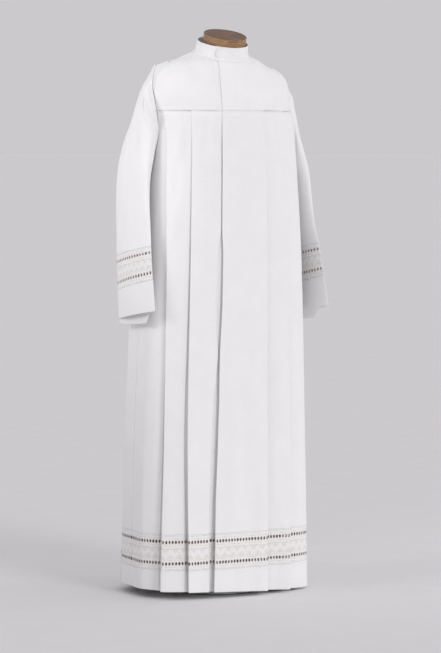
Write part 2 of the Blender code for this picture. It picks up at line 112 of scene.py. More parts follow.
scene = bpy.context.scene
scene.view_settings.view_transform = "Standard"
forward = np.array((math.sin(VIEW_TURN), math.cos(VIEW_TURN), 0.0))
camera_data = bpy.data.cameras.new("camera")
camera_data.lens = LENS
camera_data.sensor_width = 36.0
camera = bpy.data.objects.new("camera", camera_data)
scene.collection.objects.link(camera)
target = np.array(VIEW_TARGET)
place = target - forward * VIEW_DISTANCE
place[2] = VIEW_HEIGHT
camera.location = place
pitch = math.atan2(VIEW_HEIGHT - VIEW_TARGET[2], VIEW_DISTANCE)
camera.rotation_euler = (math.pi / 2 - pitch, 0, -VIEW_TURN)
scene.camera = camera

room = bpy.data.worlds.new("even_room")
room.use_nodes = True
room.node_tree.nodes["Background"].inputs["Color"].default_value = linear(ROOM_GREY)
scene.world = room

for name, turn, elevation, strength, softness, colour in LAMPS:
    lamp = bpy.data.lights.new(name, "SUN")
    lamp.energy = strength
    lamp.angle = math.radians(softness)
    lamp.color = linear(colour)[:3]
    lamp_object = bpy.data.objects.new(name, lamp)
    lamp_object.rotation_euler = (math.radians(90 - elevation), 0, math.radians(turn))
    scene.collection.objects.link(lamp_object)

# A soft box high on the wearer's right lights the outer sleeve from nearby and fades towards the hem
box_lamp = bpy.data.lights.new("soft_box", "AREA")
box_lamp.shape = "RECTANGLE"
box_lamp.size, box_lamp.size_y = SOFT_BOX_SIZE
box_lamp.energy = SOFT_BOX_POWER
box_lamp.spread = SOFT_BOX_SPREAD
box_object = bpy.data.objects.new("soft_box", box_lamp)
box_object.location = SOFT_BOX_PLACE
box_object.rotation_euler = SOFT_BOX_TURN
scene.collection.objects.link(box_object)

bpy.ops.object.select_all(action="DESELECT")
bpy.ops.mesh.primitive_circle_add(vertices=96, radius=FLOOR_RADIUS, fill_type="NGON")
floor = bpy.context.object
floor.name = "studio_floor"
paper, tree, shader = new_material("matt_paper_floor")
# Matt backdrop paper: an even pale grey with a very faint fibre mottle
fibres = add_node(tree, "ShaderNodeTexNoise", inputs={
    "Vector": add_node(tree, "ShaderNodeTexCoord").outputs["Object"], "Scale": 9.0})
tree.links.new(ramp_between(tree, fibres.outputs["Fac"], ((0.3, "#EFEEEF"), (0.7, "#F1F0F1"))),
               shader.inputs["Base Color"])
shader.inputs["Roughness"].default_value = 0.95
shader.inputs["Specular IOR Level"].default_value = 0.1
floor.data.materials.append(paper)


# Foot and pole: a flat steel plate with eased edges and a straight steel tube that carries the form. Both
# are satin-brushed steel and keep their construction shapes.
steel, tree, shader = new_material("brushed_steel")
# Satin steel: fine brush lines along the pole and round the plate give streaked, broken reflections
where = add_node(tree, "ShaderNodeTexCoord").outputs["Object"]
stretched = add_node(tree, "ShaderNodeMapping", inputs={"Vector": where, "Scale": (900.0, 900.0, 12.0)})
brushing = add_node(tree, "ShaderNodeTexNoise", inputs={"Vector": stretched.outputs["Vector"], "Detail": 4.0})
tree.links.new(ramp_between(tree, brushing.outputs["Fac"], ((0.25, "#8D8E92"), (0.75, "#A5A6AA"))),
               shader.inputs["Base Color"])
dull = add_node(tree, "ShaderNodeMapRange", inputs={
    "Value": brushing.outputs["Fac"], "To Min": 0.28, "To Max": 0.46})
tree.links.new(dull.outputs["Result"], shader.inputs["Roughness"])
shader.inputs["Metallic"].default_value = 1.0
add_relief(tree, shader, brushing.outputs["Fac"], 0.15, 0.0001)
for name in ("stand_base", "stand_pole"):
    carried = bpy.data.objects[name]
    for carried_slot in carried.material_slots:
        carried_slot.material = steel


# Dress form: a limbless shell covered in calico, from the neck to the waist. It fills out the yoke, which
# lies just clear of it, and narrows to a flat underside where the pole enters.
YOKE_SEAM_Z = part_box("yoke_back")[0][2]
SECTIONS = np.array([
    # height, half width, front, back, squareness
    (1.318, 0.205, -0.162, 0.112, 2.6),
    (1.196, 0.208, -0.163, 0.122, 2.9),
    (1.040, 0.217, -0.161, 0.135, 3.3),
    (0.920, 0.226, -0.159, 0.145, 3.4),
    (0.726, 0.236, -0.157, 0.160, 3.3),
    (0.390, 0.248, -0.153, 0.177, 3.2),
    (0.010, 0.252, -0.150, 0.188, 3.2),
])
NECK_CENTRE = np.array((0.0, -0.032, 1.470))
NECK_TILT = math.radians(15)
NECK_RADIUS = 0.0745
NECK_FAN = 2.15
SHOULDER_DROP = 0.030
YOKE_ROUNDNESS = {"front": 1.35, "side": 4.2, "back": 1.6}
TORSO_SECTIONS = np.array([
    # height, half width, front, back
    (1.230, 0.180, -0.148, 0.094),
    (1.130, 0.168, -0.142, 0.092),
    (1.010, 0.140, -0.114, 0.084),
    (0.920, 0.156, -0.118, 0.102),
    (0.855, 0.160, -0.118, 0.108),
    (0.842, 0.150, -0.108, 0.098),
])
TORSO_SQUARENESS = 2.3
FORM_GAP = 1.3 * MM
FORM_GAP_FRONT = 3.5 * MM
FORM_GAP_BACK = 1.4 * MM
FORM_CHEST_INSET = 10 * MM
FORM_SIDE_INSET = 7 * MM
FORM_COLUMNS = 96
FORM_NECK_RINGS = 7
FORM_YOKE_RINGS = 26
FORM_TORSO_RINGS = 40
CAP_RADIUS = 0.0586
CAP_THICKNESS = 0.022
CAP_TILT = math.radians(17)
CAP_TOP = np.array((0.0, -0.056, 1.5235))


def superellipse(angles, width, half_depth, square):
    """How far a squared-off oval reaches at angles from the front towards +X."""
    across, ahead = abs(np.sin(angles)) / width, abs(np.cos(angles)) / half_depth
    return (across ** square + ahead ** square) ** (-1 / square)


def section_at(z):
    """Half width, middle, half depth and squareness of the robe's section at a height."""
    width, front, back, square = (np.interp(z, SECTIONS[::-1, 0], SECTIONS[::-1, i]) for i in range(1, 5))
    return width, (front + back) / 2, (back - front) / 2, square


def outline(z, angles, depths=0.0):
    """Plan points of the robe's section at one height, each moved outwards by its depth."""
    width, middle, half_depth, square = section_at(z)
    reach = superellipse(angles, width, half_depth, square)
    x, y = reach * np.sin(angles), -reach * np.cos(angles)
    normal = np.stack([
        np.copysign((abs(x) / width) ** (square - 1) / width, x),
        np.copysign((abs(y) / half_depth) ** (square - 1) / half_depth, y),
    ], axis=-1)
    normal /= np.linalg.norm(normal, axis=-1, keepdims=True)
    return np.stack([x, y + middle], axis=-1) + normal * np.asarray(depths)[..., None]


def neck_point(angles, radius, height):
    """Points on a ring about the tilted neck, at angles from the front towards +X."""
    axis = np.array((0.0, -math.sin(NECK_TILT), math.cos(NECK_TILT)))
    ahead = np.array((0.0, -math.cos(NECK_TILT), -math.sin(NECK_TILT)))
    turned = np.sin(angles)[..., None] * np.array((1.0, 0.0, 0.0)) + np.cos(angles)[..., None] * ahead
    return NECK_CENTRE + np.asarray(radius)[..., None] * turned + np.asarray(height)[..., None] * axis


def wrapped(angles):
    """Angles brought to between minus and plus half a turn."""
    return (angles + math.pi) % (2 * math.pi) - math.pi


def neck_angle(angles):
    """Where lines of the yoke that end at these angles on the yoke seam start on the neck ring."""
    turned = wrapped(angles)
    size = abs(turned)
    quarter = math.pi / 2
    from_centre = np.minimum(size, math.pi - size)
    fan = quarter * (1 - (1 - from_centre / quarter) ** NECK_FAN)
    return np.copysign(np.where(size <= quarter, fan, math.pi - fan), turned)


def yoke_point(angles, shares):
    """Points of the yoke's surface, from the neck ring at share 0 to the yoke seam at share 1."""
    angles, shares = np.broadcast_arrays(angles, shares)
    start = neck_point(neck_angle(angles), NECK_RADIUS, 0.0)
    sideways = np.sin(angles) ** 4
    centre = np.where(np.cos(angles) > 0, YOKE_ROUNDNESS["front"], YOKE_ROUNDNESS["back"])
    roundness = centre + (YOKE_ROUNDNESS["side"] - centre) * sideways
    out = np.sin(shares * math.pi / 2)
    up = np.maximum(np.cos(shares * math.pi / 2), 0.0)
    size = (out ** roundness + up ** roundness) ** (-1 / roundness)
    out, up = out * size, up * size
    rise = start[..., 2] - YOKE_SEAM_Z - SHOULDER_DROP * sideways * out
    plan = start[..., :2] + (outline(YOKE_SEAM_Z, angles) - start[..., :2]) * out[..., None]
    return np.concatenate([plan, (YOKE_SEAM_Z + rise * up)[..., None]], axis=-1)


def yoke_normal(angles, shares):
    """Outward normals of the yoke's surface."""
    step = 0.01
    shares = np.clip(shares, 0.03, 0.985)
    down = yoke_point(angles, shares + step) - yoke_point(angles, shares - step)
    across = yoke_point(angles + step, shares) - yoke_point(angles - step, shares)
    normal = np.cross(down, across)
    return normal / np.linalg.norm(normal, axis=-1, keepdims=True)


def flowing(keys, positions):
    """Smooth values through equally numbered keys (a Catmull-Rom curve) at fractional positions."""
    keys = np.asarray(keys, float)
    last = len(keys) - 1
    lower = np.clip(np.floor(positions).astype(int), 0, last - 1)
    t = (positions - lower).reshape((-1,) + (1,) * (keys.ndim - 1))
    before, here = keys[np.maximum(lower - 1, 0)], keys[lower]
    after, beyond = keys[lower + 1], keys[np.minimum(lower + 2, last)]
    return 0.5 * (2 * here + (after - before) * t + (2 * before - 5 * here + 4 * after - beyond) * t ** 2
                  + (3 * here - before - 3 * after + beyond) * t ** 3)


def grid_faces(rows, columns, closed=False):
    """Quads of a grid whose rows run down and whose columns run towards +X, seen from outside."""
    i, j = np.meshgrid(np.arange(rows - 1), np.arange(columns if closed else columns - 1), indexing="ij")
    k = (j + 1) % columns
    corners = (i * columns + j, (i + 1) * columns + j, (i + 1) * columns + k, i * columns + k)
    return np.stack(corners, axis=-1).reshape(-1, 4)


def add_surface(name, points, faces, material, flat=None):
    """A named mesh piece from points and faces; flat gives each point's place on the cut cloth."""
    mesh = bpy.data.meshes.new(name)
    mesh.from_pydata(np.asarray(points).tolist(), [], [list(face) for face in faces])
    if flat is not None:
        corners = np.empty(len(mesh.loops), int)
        mesh.loops.foreach_get("vertex_index", corners)
        mesh.uv_layers.new(name="cut").data.foreach_set("uv", np.asarray(flat)[corners].ravel())
    mesh.materials.append(material)
    mesh.shade_smooth()
    made = bpy.data.objects.new(name, mesh)
    scene.collection.objects.link(made)
    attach(made, "root")
    return made


# how far the shoulders are moved, and from where to where across and up (m)
SHOULDER_SLOPE = 0.016
SLOPE_ACROSS = (0.07, 0.135)
SLOPE_UP = (1.30, 1.40)
SHOULDER_DIP = 0.005
DIP_X = 0.114
DIP_WIDTH = 0.022
DIP_UP = (1.36, 1.43)
SHOULDER_NARROWING = 0.008
NARROWING_ACROSS = (0.14, 0.20)
NARROWING_Z = 1.36
NARROWING_HEIGHT = 0.06


def eased(value, start, end):
    """A smooth step from 0 at start to 1 at end."""
    share = np.clip((value - start) / (end - start), 0, 1)
    return share * share * (3 - 2 * share)


def sloped(points):
    """The shoulders as they slope: both dip a little near the neck, and the wearer's left one falls away
    more steeply and narrower."""
    x, z = points[..., 0], points[..., 2]
    moved = points.copy()
    moved[..., 2] -= SHOULDER_SLOPE * eased(x, *SLOPE_ACROSS) * eased(z, *SLOPE_UP)
    moved[..., 2] -= SHOULDER_DIP * np.exp(-((abs(x) - DIP_X) / DIP_WIDTH) ** 2) * eased(z, *DIP_UP)
    near_z = np.exp(-((z - NARROWING_Z) / NARROWING_HEIGHT) ** 2)
    moved[..., 0] -= SHOULDER_NARROWING * eased(x, *NARROWING_ACROSS) * near_z
    return moved


def form_rings(angles):
    """The form's rings from the neck's top to its underside."""
    cap_axis = np.array((0.0, -math.sin(CAP_TILT), math.cos(CAP_TILT)))
    cap_ahead = np.array((0.0, -math.cos(CAP_TILT), -math.sin(CAP_TILT)))
    turns = neck_angle(angles)
    neck_top = CAP_TOP - cap_axis * (CAP_THICKNESS + 0.3 * MM)
    around = np.sin(turns)[:, None] * np.array((1.0, 0, 0)) + np.cos(turns)[:, None] * cap_ahead
    keys = [neck_top + (CAP_RADIUS - 1.5 * MM) * around]
    keys += [neck_point(turns, 0.0600, 0.024), neck_point(turns, 0.0650, 0.006)]
    rings = list(flowing(keys, np.linspace(0, 2, FORM_NECK_RINGS)))
    ahead = np.cos(angles)
    near = FORM_GAP + np.where(ahead > 0, FORM_GAP_FRONT, FORM_GAP_BACK) * ahead ** 2
    far = FORM_CHEST_INSET + FORM_SIDE_INSET * np.sin(angles) ** 4
    for share in np.linspace(0, 1, FORM_YOKE_RINGS):
        inset = near + (far - near) * share * share * (3 - 2 * share)
        rings.append(yoke_point(angles, share) - yoke_normal(angles, share) * inset[:, None])
    torso = []
    for height, width, front, back in TORSO_SECTIONS:
        reach = superellipse(angles, width, (back - front) / 2, TORSO_SQUARENESS)
        middle = (front + back) / 2
        torso.append(np.column_stack([reach * np.sin(angles), middle - reach * ahead,
                                      np.full(len(angles), height)]))
    places = np.linspace(1, len(torso), FORM_TORSO_RINGS)[1:]
    joined = flowing([rings[-2], rings[-1]] + torso[:-1], places)
    return rings + list(joined) + torso[-1:]


calico, tree, shader = new_material("calico_cover")
# Unbleached calico: a matt weave with darker flecks and a fine even thread relief, its cream darkened to an
# olive brown as painted shade, since it shows only in the shadowed gap between cap and collar
where = add_node(tree, "ShaderNodeTexCoord").outputs["Object"]
flecks = add_node(tree, "ShaderNodeTexNoise", inputs={"Vector": where, "Scale": 160.0, "Detail": 6.0})
tree.links.new(ramp_between(tree, flecks.outputs["Fac"], ((0.3, "#7C705A"), (0.7, "#978A72"))),
               shader.inputs["Base Color"])
shader.inputs["Roughness"].default_value = 0.9
threads = add_node(tree, "ShaderNodeTexNoise", inputs={"Vector": where, "Scale": 900.0})
add_relief(tree, shader, threads.outputs["Fac"], 0.3, 0.0004)

form_angles = np.linspace(0, 2 * math.pi, FORM_COLUMNS, endpoint=False)
form_points = sloped(np.array(form_rings(form_angles)))
form_faces = [tuple(face) for face in grid_faces(len(form_points), FORM_COLUMNS, closed=True)]
form_faces.append(tuple(range(FORM_COLUMNS)))
form_faces.append(tuple(form_points.shape[0] * FORM_COLUMNS - 1 - j for j in range(FORM_COLUMNS)))
form = add_surface("dress_form", form_points.reshape(-1, 3), form_faces, calico)
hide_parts("form_bust")


# Neck cap: a disc of beech, turned with eased edges and one fine line, then oiled. It sits tilted on the
# form's neck and shows above the collar.
CAP_PROFILE = (
    # radius, height
    (0.0570, 0.0000), (0.0582, 0.0006), (0.0586, 0.0018), (0.0586, 0.0048),
    (0.0581, 0.0053), (0.0581, 0.0059), (0.0586, 0.0064), (0.0586, 0.0196),
    (0.0582, 0.0211), (0.0572, 0.0219), (0.0560, 0.0220),
)
bpy.ops.object.select_all(action="DESELECT")
bpy.ops.mesh.primitive_circle_add(vertices=128, radius=CAP_PROFILE[0][0], fill_type="NGON")
cap = bpy.context.object
cap.name = "neck_cap"
bpy.ops.object.mode_set(mode="EDIT")
for (radius, height), (next_radius, next_height) in zip(CAP_PROFILE, CAP_PROFILE[1:]):
    bpy.ops.mesh.extrude_region_move(TRANSFORM_OT_translate={"value": (0, 0, next_height - height)})
    bpy.ops.transform.resize(value=(next_radius / radius, next_radius / radius, 1))
bpy.ops.mesh.select_all(action="SELECT")
bpy.ops.mesh.normals_make_consistent(inside=False)
bpy.ops.object.mode_set(mode="OBJECT")
cap.location = CAP_TOP - CAP_THICKNESS * np.array((0.0, -math.sin(CAP_TILT), math.cos(CAP_TILT)))
cap.rotation_euler = (CAP_TILT, 0, 0)
bpy.ops.object.transform_apply(location=True, rotation=True, scale=True)
bpy.ops.object.shade_smooth_by_angle(angle=math.radians(40))

oiled_wood, tree, shader = new_material("oiled_beech")
# Oiled beech: long streaks across the disc, warm on the turned side, and a greyer, darker top that is painted
# shade, since the top faces away from the front light that falls on the side
where = add_node(tree, "ShaderNodeTexCoord").outputs["Object"]
laid = add_node(tree, "ShaderNodeMapping", inputs={"Vector": where, "Location": tuple(-CAP_TOP)})
level = add_node(tree, "ShaderNodeMapping", inputs={
    "Vector": laid.outputs["Vector"], "Rotation": (-CAP_TILT, 0, 0)})
streaked = add_node(tree, "ShaderNodeMapping", inputs={
    "Vector": level.outputs["Vector"], "Rotation": (0, 0, math.radians(12)), "Scale": (18.0, 220.0, 260.0)})
grain = add_node(tree, "ShaderNodeTexNoise", inputs={
    "Vector": streaked.outputs["Vector"], "Scale": 1.0, "Detail": 6.0, "Roughness": 0.62, "Distortion": 0.4})
side_colour = ramp_between(tree, grain.outputs["Fac"], (
    (0.30, "#77553C"), (0.48, "#9C7857"), (0.70, "#B69372")))
# The top's greyer, darker colours are painted shade
top_colour = ramp_between(tree, grain.outputs["Fac"], (
    (0.34, "#4C3526"), (0.50, "#70543F"), (0.66, "#92755C")))
height = add_node(tree, "ShaderNodeSeparateXYZ", inputs={"Vector": level.outputs["Vector"]})
# Painted shade of the top, blended in close under the top face
painted_shade_top_share = add_node(tree, "ShaderNodeMapRange", inputs={
    "Value": height.outputs["Z"], "From Min": -1.6 * MM, "From Max": -0.4 * MM})
top_shade_blend = add_node(tree, "ShaderNodeMix", {"data_type": "RGBA"}, {
    0: painted_shade_top_share.outputs["Result"], 6: side_colour, 7: top_colour})
tree.links.new(top_shade_blend.outputs[2], shader.inputs["Base Color"])
shader.inputs["Roughness"].default_value = 0.5
shader.inputs["Specular IOR Level"].default_value = 0.35
add_relief(tree, shader, grain.outputs["Fac"], 0.35, 0.0004)
cap.data.materials.append(oiled_wood)
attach(cap, "root")
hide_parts("form_neck_cap")


# Fronts and back: three lengths of plain white alb cloth, knife-pleated into the yoke seam and falling
# open towards the hem. The fronts overlap under a wide centre panel, and all edges are turned in.
CLOTH = 0.5 * MM
LAYER = 2.2 * MM
SEAM = 0.16 * MM
INSERTION_TOP_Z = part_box("back")[0][2]
INSERTION_END_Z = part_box("lace_back")[0][2]
HEM_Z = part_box("hem_back")[0][2]
PLEAT_HEIGHTS = (1.318, 1.10, 0.80, 0.44, 0.01)
PLEATS = {
    # outer edge from the centre line at each height; stand, fold under at yoke and hem, and sink at hem;
    # width of the recess beside the edge at each height (mm)
    "right": (((140, 147, 152.5, 158, 155), (11, 36, 28, 9), (0, 0, 1, 6, 0)),
              ((190, 200, 206.5, 212, 218), (10, 34, 30, 11), (0, 0, 0, 4, 9))),
    "left": (((64, 72, 76, 76, 77), (11, 36, 30, 9), (0, 0, 1, 3, 5)),
             ((129, 139, 146, 150, 149), (11, 34, 28, 9), (0, 0, 2, 4, 5)),
             ((187, 195, 205, 215, 227), (8, 34, 32, 13), (0, 0, 0, 3, 5))),
    "back": (((62, 66, 71, 77, 84), (12, 36, 30, 10), (0, 0, 2, 6, 9)),
             ((128, 133, 140, 147, 156), (12, 34, 28, 10), (0, 0, 3, 5, 8)),
             ((184, 189, 196, 205, 216), (10, 34, 32, 13), (0, 0, 0, 3, 6))),
}
PLEAT_OPENING_POWER = 1.25
BACK_CENTRE_SINK = 0.6
SEAM_LAYER_SHARE = 0.27
RECESS_RISE = 5.0
OPENING_EDGES = np.array([
    # height, right front's fold, left front's edge (mm to the wearer's right)
    (1.318, 63.6, 61.8), (1.160, 63.4, 61.5), (0.9925, 63.5, 61.7), (0.936, 73, 58.2), (0.799, 81, 60.1),
    (0.744, 78, 62.5), (0.664, 71, 67.0), (0.600, 77, 68.0), (0.535, 84.7, 68.6), (0.400, 91, 73),
    (0.271, 96, 78.7), (0.100, 97, 81.5), (0.000, 96.4, 83.7),
])
# distance in from the edge at yoke, at hem (mm), layers under at yoke, depth at hem (mm)
UNDERLAP = ((43, 51, -3, -16), (1.5, 3, -3, -13), (0, 0, -2, 2))
OVERLAP = ((31, 30, -1, -6), (0, 0, -1, 2), (0, 0, 0, 4.2))
SIDE_TURNING = 4 * MM
SIDE_TURNING_TURN = math.radians(0.35)
ARMHOLE_Y = -0.025
ARMHOLE_HALF_DEPTH = 0.052
ARMHOLE_RISE = 0.107
ARMHOLE_DROP = 0.125
FOLD_ROUNDING = 1.5 * MM
FOLD_MARKS = np.array((-3.4, -1.8, -0.9, 0.0, 0.9, 1.8, 3.4)) * MM
COLUMN_STEP = 6.0 * MM
ROW_STEP = 14.0 * MM
PANEL_LEVELS = 150
HEM_LEVELS = 20
STEPS_BETWEEN_STATIONS = 40
LINE_STEP = 0.4 * MM
SEAM_BULGE = 0.5 * MM
SEAM_BULGE_WIDTH = 2.4 * MM
SEAM_BULGE_OFF = 3 * MM
SEAM_STILL = 22 * MM
LOOSE_BELOW = 120 * MM
FLUTES = (
    # wavelength (mm), height at the hem (mm), phase, drift over the whole length
    (118, 1.5, 0.6, 0.7), (71, 0.9, 2.1, -1.1), (43, 0.4, 4.0, 1.6),
)
FRONT_CREASES = (
    # across from, height from, across to, height to (mm), width, depth (mm)
    (-144, 1313, -151, 1235, 3.4, -1.5), (-194, 1313, -203, 1230, 3.4, -1.5), (68, 1313, 75, 1240, 3.2, -1.3),
    (133, 1313, 141, 1236, 3.4, -1.5), (98, 1312, 70, 1215, 9, -1.6), (112, 1312, 126, 1180, 8, -1.4),
    (84, 1310, 96, 1235, 7, 1.1), (150, 1308, 158, 1205, 8, -1.3), (-98, 1312, -92, 1130, 9, 1.0),
    (-118, 1312, -128, 1165, 9, -1.2),
    (-40, 1310, -30, 1150, 10, -0.8), (10, 1312, 18, 1090, 12, 0.8),
    (-200, 1290, -214, 1180, 12, 4.0), (-214, 1170, -208, 1060, 11, -3.0), (-204, 1060, -222, 900, 14, 2.5),
    (214, 1280, 222, 1120, 12, 2.4), (60, 700, 74, 430, 16, -1.2), (-30, 560, -18, 300, 18, 1.2),
    (110, 520, 128, 210, 15, -1.4), (-110, 640, -122, 330, 16, -1.3), (0, 60, 46, 42, 7, -1.2),
)
BACK_CREASES = (
    (30, 1312, 22, 1120, 10, 1.0), (-44, 1312, -38, 1180, 9, -1.2), (96, 1310, 108, 1150, 9, -1.3),
    (-104, 1312, -118, 1190, 10, -1.4), (160, 1300, 172, 1120, 12, 2.2), (-166, 1296, -180, 1100, 12, 2.4),
    (70, 720, 84, 380, 17, -1.3), (-60, 620, -74, 260, 17, 1.3), (10, 480, -6, 190, 18, -1.4),
    (130, 560, 150, 220, 15, 1.4), (-140, 700, -156, 330, 15, -1.4),
)
# the peak and the rolled front edge of the wearer's right shoulder, the drawn-in front edge of the left one,
# and the dropped front corners of both, in metres
PEAK_X = 0.188
PEAK_REACH = 0.020
PEAK_FRONT = 0.03
PEAK_DEPTH = 0.045
PEAK_UP = (1.33, 1.41)
PEAK_RISE = 0.019
PEAK_LEAN = 0.008
FRONT_FROM = (0.02, 0.075)
SIDE_FROM = (0.11, 0.19)
ROLL_OUT = 0.024
ROLL_Z = 1.380
ROLL_HEIGHT = 0.11
DRAWN_IN = 0.006
DRAWN_Z = 1.36
DRAWN_HEIGHT = 0.07
CORNER_DROP = 0.004
CORNER_Z = 1.415
CORNER_HEIGHT = 0.035
CORNER_ACROSS = (0.09, 0.15)
CORNER_FRONT = (0.0, 0.06)


def creased(across, along, creases):
    """How far soft creases lift the cloth (metres) at places given in millimetres."""
    lift = np.zeros(np.broadcast(across, along).shape)
    for across_a, along_a, across_b, along_b, width, depth in creases:
        run = np.array((across_b - across_a, along_b - along_a), float)
        length = np.hypot(*run)
        run /= length
        ahead = (across - across_a) * run[0] + (along - along_a) * run[1]
        aside = (across - across_a) * -run[1] + (along - along_a) * run[0]
        share = ahead / length
        fade = eased(share, -0.15, 0.18) * (1 - eased(share, 0.6, 1.12))
        lift += depth * MM * fade * np.exp(-(aside / width) ** 2)
    return lift


def run_length(points):
    """Distances travelled along a line of points, from 0 at the first."""
    return np.concatenate([[0], np.cumsum(np.linalg.norm(np.diff(points, axis=0), axis=1))])


MIDDLE_HEIGHT = 0.75
round_robe = np.linspace(0, math.pi, 400)
middle_distance = run_length(outline(MIDDLE_HEIGHT, round_robe))


def opened(z):
    """How far the pleats have opened at a height, from 0 at the yoke to 1 at the hem."""
    return np.clip((YOKE_SEAM_Z - z) / (YOKE_SEAM_Z - HEM_Z), 0, 1) ** PLEAT_OPENING_POWER


def drape(angles, z):
    """How far the hanging cloth stands off its smooth section: flutes, creases, and the sewn-in seams."""
    turned = wrapped(angles)
    front = np.copysign(np.interp(abs(turned), round_robe, middle_distance), turned) / MM
    back = np.copysign(middle_distance[-1] / MM - abs(front), -front)
    fall = opened(z) ** 0.8
    lift = np.zeros(np.broadcast(angles, z).shape)
    for wavelength, height, phase, drift in FLUTES:
        lift += height * MM * fall * np.sin(2 * math.pi * (front / wavelength + drift * fall) + phase)
    lift += creased(front, z / MM, FRONT_CREASES) + creased(back, z / MM, BACK_CREASES)
    lift *= 1 - eased(z, YOKE_SEAM_Z - SEAM_STILL, YOKE_SEAM_Z)
    seams = np.exp(-((z - INSERTION_TOP_Z - SEAM_BULGE_OFF) / SEAM_BULGE_WIDTH) ** 2)
    seams += np.exp(-((z - INSERTION_END_Z + SEAM_BULGE_OFF) / SEAM_BULGE_WIDTH) ** 2)
    return lift + SEAM_BULGE * seams


def between(at_yoke, at_hem, share):
    """A distance (mm) that changes evenly from yoke to hem, in metres."""
    return (at_yoke + (at_hem - at_yoke) * share) * MM


def at_height(z, distances):
    """A distance (mm) listed at the pleats' heights, in metres at height z."""
    place = np.interp(-z, -np.array(PLEAT_HEIGHTS), range(len(PLEAT_HEIGHTS)))
    return float(flowing(distances, np.array([place]))[0]) * MM


def layer_at(z):
    """How far apart the pleats' layers lie: pressed together at the yoke seam, looser further down."""
    return LAYER * (SEAM_LAYER_SHARE + (1 - SEAM_LAYER_SHARE) * eased(YOKE_SEAM_Z - z, 0, LOOSE_BELOW))


def angle_at(z, x, back=False):
    """The angle at which the section reaches this distance from the centre line."""
    width, _, half_depth, square = section_at(z)
    y = half_depth * (1 - (abs(x) / width) ** square) ** (1 / square)
    return math.atan2(x, -y if back else y)


def armhole_corner():
    """The angle at which the armhole starts on the yoke seam."""
    width, _, half_depth, square = section_at(YOKE_SEAM_Z)
    x = width * (1 - (ARMHOLE_HALF_DEPTH / half_depth) ** square) ** (1 / square)
    return math.pi / 2 - math.atan2(ARMHOLE_HALF_DEPTH, x)


def pleat_stations(z, side, pleat, back=False):
    """Angle and depth at the turns of one knife pleat and its recess, from the centre outwards."""
    edges, (stand, under_yoke, under_hem, sink), recess = pleat
    share, layer = opened(z), layer_at(z)
    edge = at_height(z, edges)
    inner = edge - between(under_yoke, under_hem, share)
    outer = edge + max(at_height(z, recess), 0.0)
    top = stand * MM * share
    low = -2 * layer - sink * MM * share
    rise = RECESS_RISE * MM * share
    turns = [(edge, top), (edge, top - layer), (inner, low + layer), (inner, low), (outer, low),
             (outer + rise / 4, low + rise)]
    return [(angle_at(z, side * x, back), depth) for x, depth in turns]


def side_stations(side, back=False):
    """From the armhole's corner to the side seam, where the cloth turns in."""
    quarter, last = math.pi / 2, SIDE_TURNING_TURN
    angles = (armhole_corner(), quarter - last, quarter - last / 4)
    if back:
        angles = [math.pi - angle for angle in angles]
    return list(zip([side * angle for angle in angles], (0.0, 0.0, -SIDE_TURNING)))


def front_stations(z, side, lap, pleats):
    """Turns of one front's cloth, from the opening to the side seam."""
    share, layer = opened(z), layer_at(z)
    edge = np.interp(-z, -OPENING_EDGES[:, 0], OPENING_EDGES[:, 1 if side < 0 else 2])
    stations = [
        (angle_at(z, between(near, far, share) - edge * MM),
         layers * layer * (1 - share) + depth * MM * share)
        for near, far, layers, depth in lap
    ]
    for pleat in pleats:
        stations += pleat_stations(z, side, pleat)
    return stations + side_stations(side)


def right_stations(z):
    """Turns of the right front, from its side seam to the opening."""
    return front_stations(z, -1, UNDERLAP, PLEATS["right"])[::-1]


def left_stations(z):
    """Turns of the left front, from the opening to its side seam."""
    return front_stations(z, 1, OVERLAP, PLEATS["left"])


def back_stations(z):
    """Turns of the back's cloth, from the left side seam round to the right one."""
    halves = []
    for side in (1, -1):
        half = []
        for pleat in PLEATS["back"]:
            half += pleat_stations(z, side, pleat, back=True)
        halves.append(half + side_stations(side, back=True))
    left = halves[0][::-1]
    middle = (math.pi, left[-1][1] * BACK_CENTRE_SINK)
    return left + [middle] + [(angle + 2 * math.pi, depth) for angle, depth in halves[1]]


def cloth_line(stations_of, z):
    """The cloth's line at one height with its folds rounded: station numbers, distances and plan points."""
    stations = np.array(stations_of(z))
    numbers = np.arange(len(stations))
    fine = np.linspace(0, numbers[-1], numbers[-1] * STEPS_BETWEEN_STATIONS + 1)
    angles = np.interp(fine, numbers, stations[:, 0])
    depths = np.interp(fine, numbers, stations[:, 1]) + drape(angles, z)
    points = outline(z, angles, depths)
    travelled = run_length(points)
    even = np.arange(0, travelled[-1], LINE_STEP)
    window = 2 * round(FOLD_ROUNDING / LINE_STEP / 2) + 1
    padded = [np.pad(np.interp(even, travelled, points[:, i]), window // 2, "reflect", reflect_type="odd")
              for i in (0, 1)]
    rounded = [np.convolve(line, np.ones(window) / window, "valid") for line in padded]
    return fine, travelled, even, rounded


def hanging_cloth(stations_of, columns, heights):
    """Points of the pleated cloth, a row for each height and a column for each station number."""
    rows = []
    for z in heights:
        fine, travelled, even, rounded = cloth_line(stations_of, z)
        at = np.interp(columns, fine, travelled)
        rows.append(np.column_stack([np.interp(at, even, rounded[0]), np.interp(at, even, rounded[1]),
                                     np.full(len(columns), z)]))
    return np.array(rows)


def spread(total, marks, step, closest=0.7 * MM):
    """Distances from 0 to total that take in the marks and fill between them in even steps."""
    wanted = np.unique(np.clip(np.concatenate([[0, total], marks]), 0, total))
    kept = [0.0]
    for mark in wanted[1:]:
        if mark - kept[-1] >= closest:
            kept.append(mark)
    kept[-1] = total
    filled = [np.linspace(a, b, math.ceil((b - a) / step), endpoint=False) for a, b in zip(kept, kept[1:])]
    return np.concatenate(filled + [[total]])


def cloth_columns(stations_of, z):
    """Station numbers of a cloth's columns, close together at its folds, and their distances along it."""
    fine, travelled, _, _ = cloth_line(stations_of, z)
    folds = np.interp(np.arange(fine[-1] + 1), fine, travelled)
    distances = spread(travelled[-1], (folds[:, None] + FOLD_MARKS).ravel(), COLUMN_STEP)
    return np.interp(distances, travelled, fine), distances


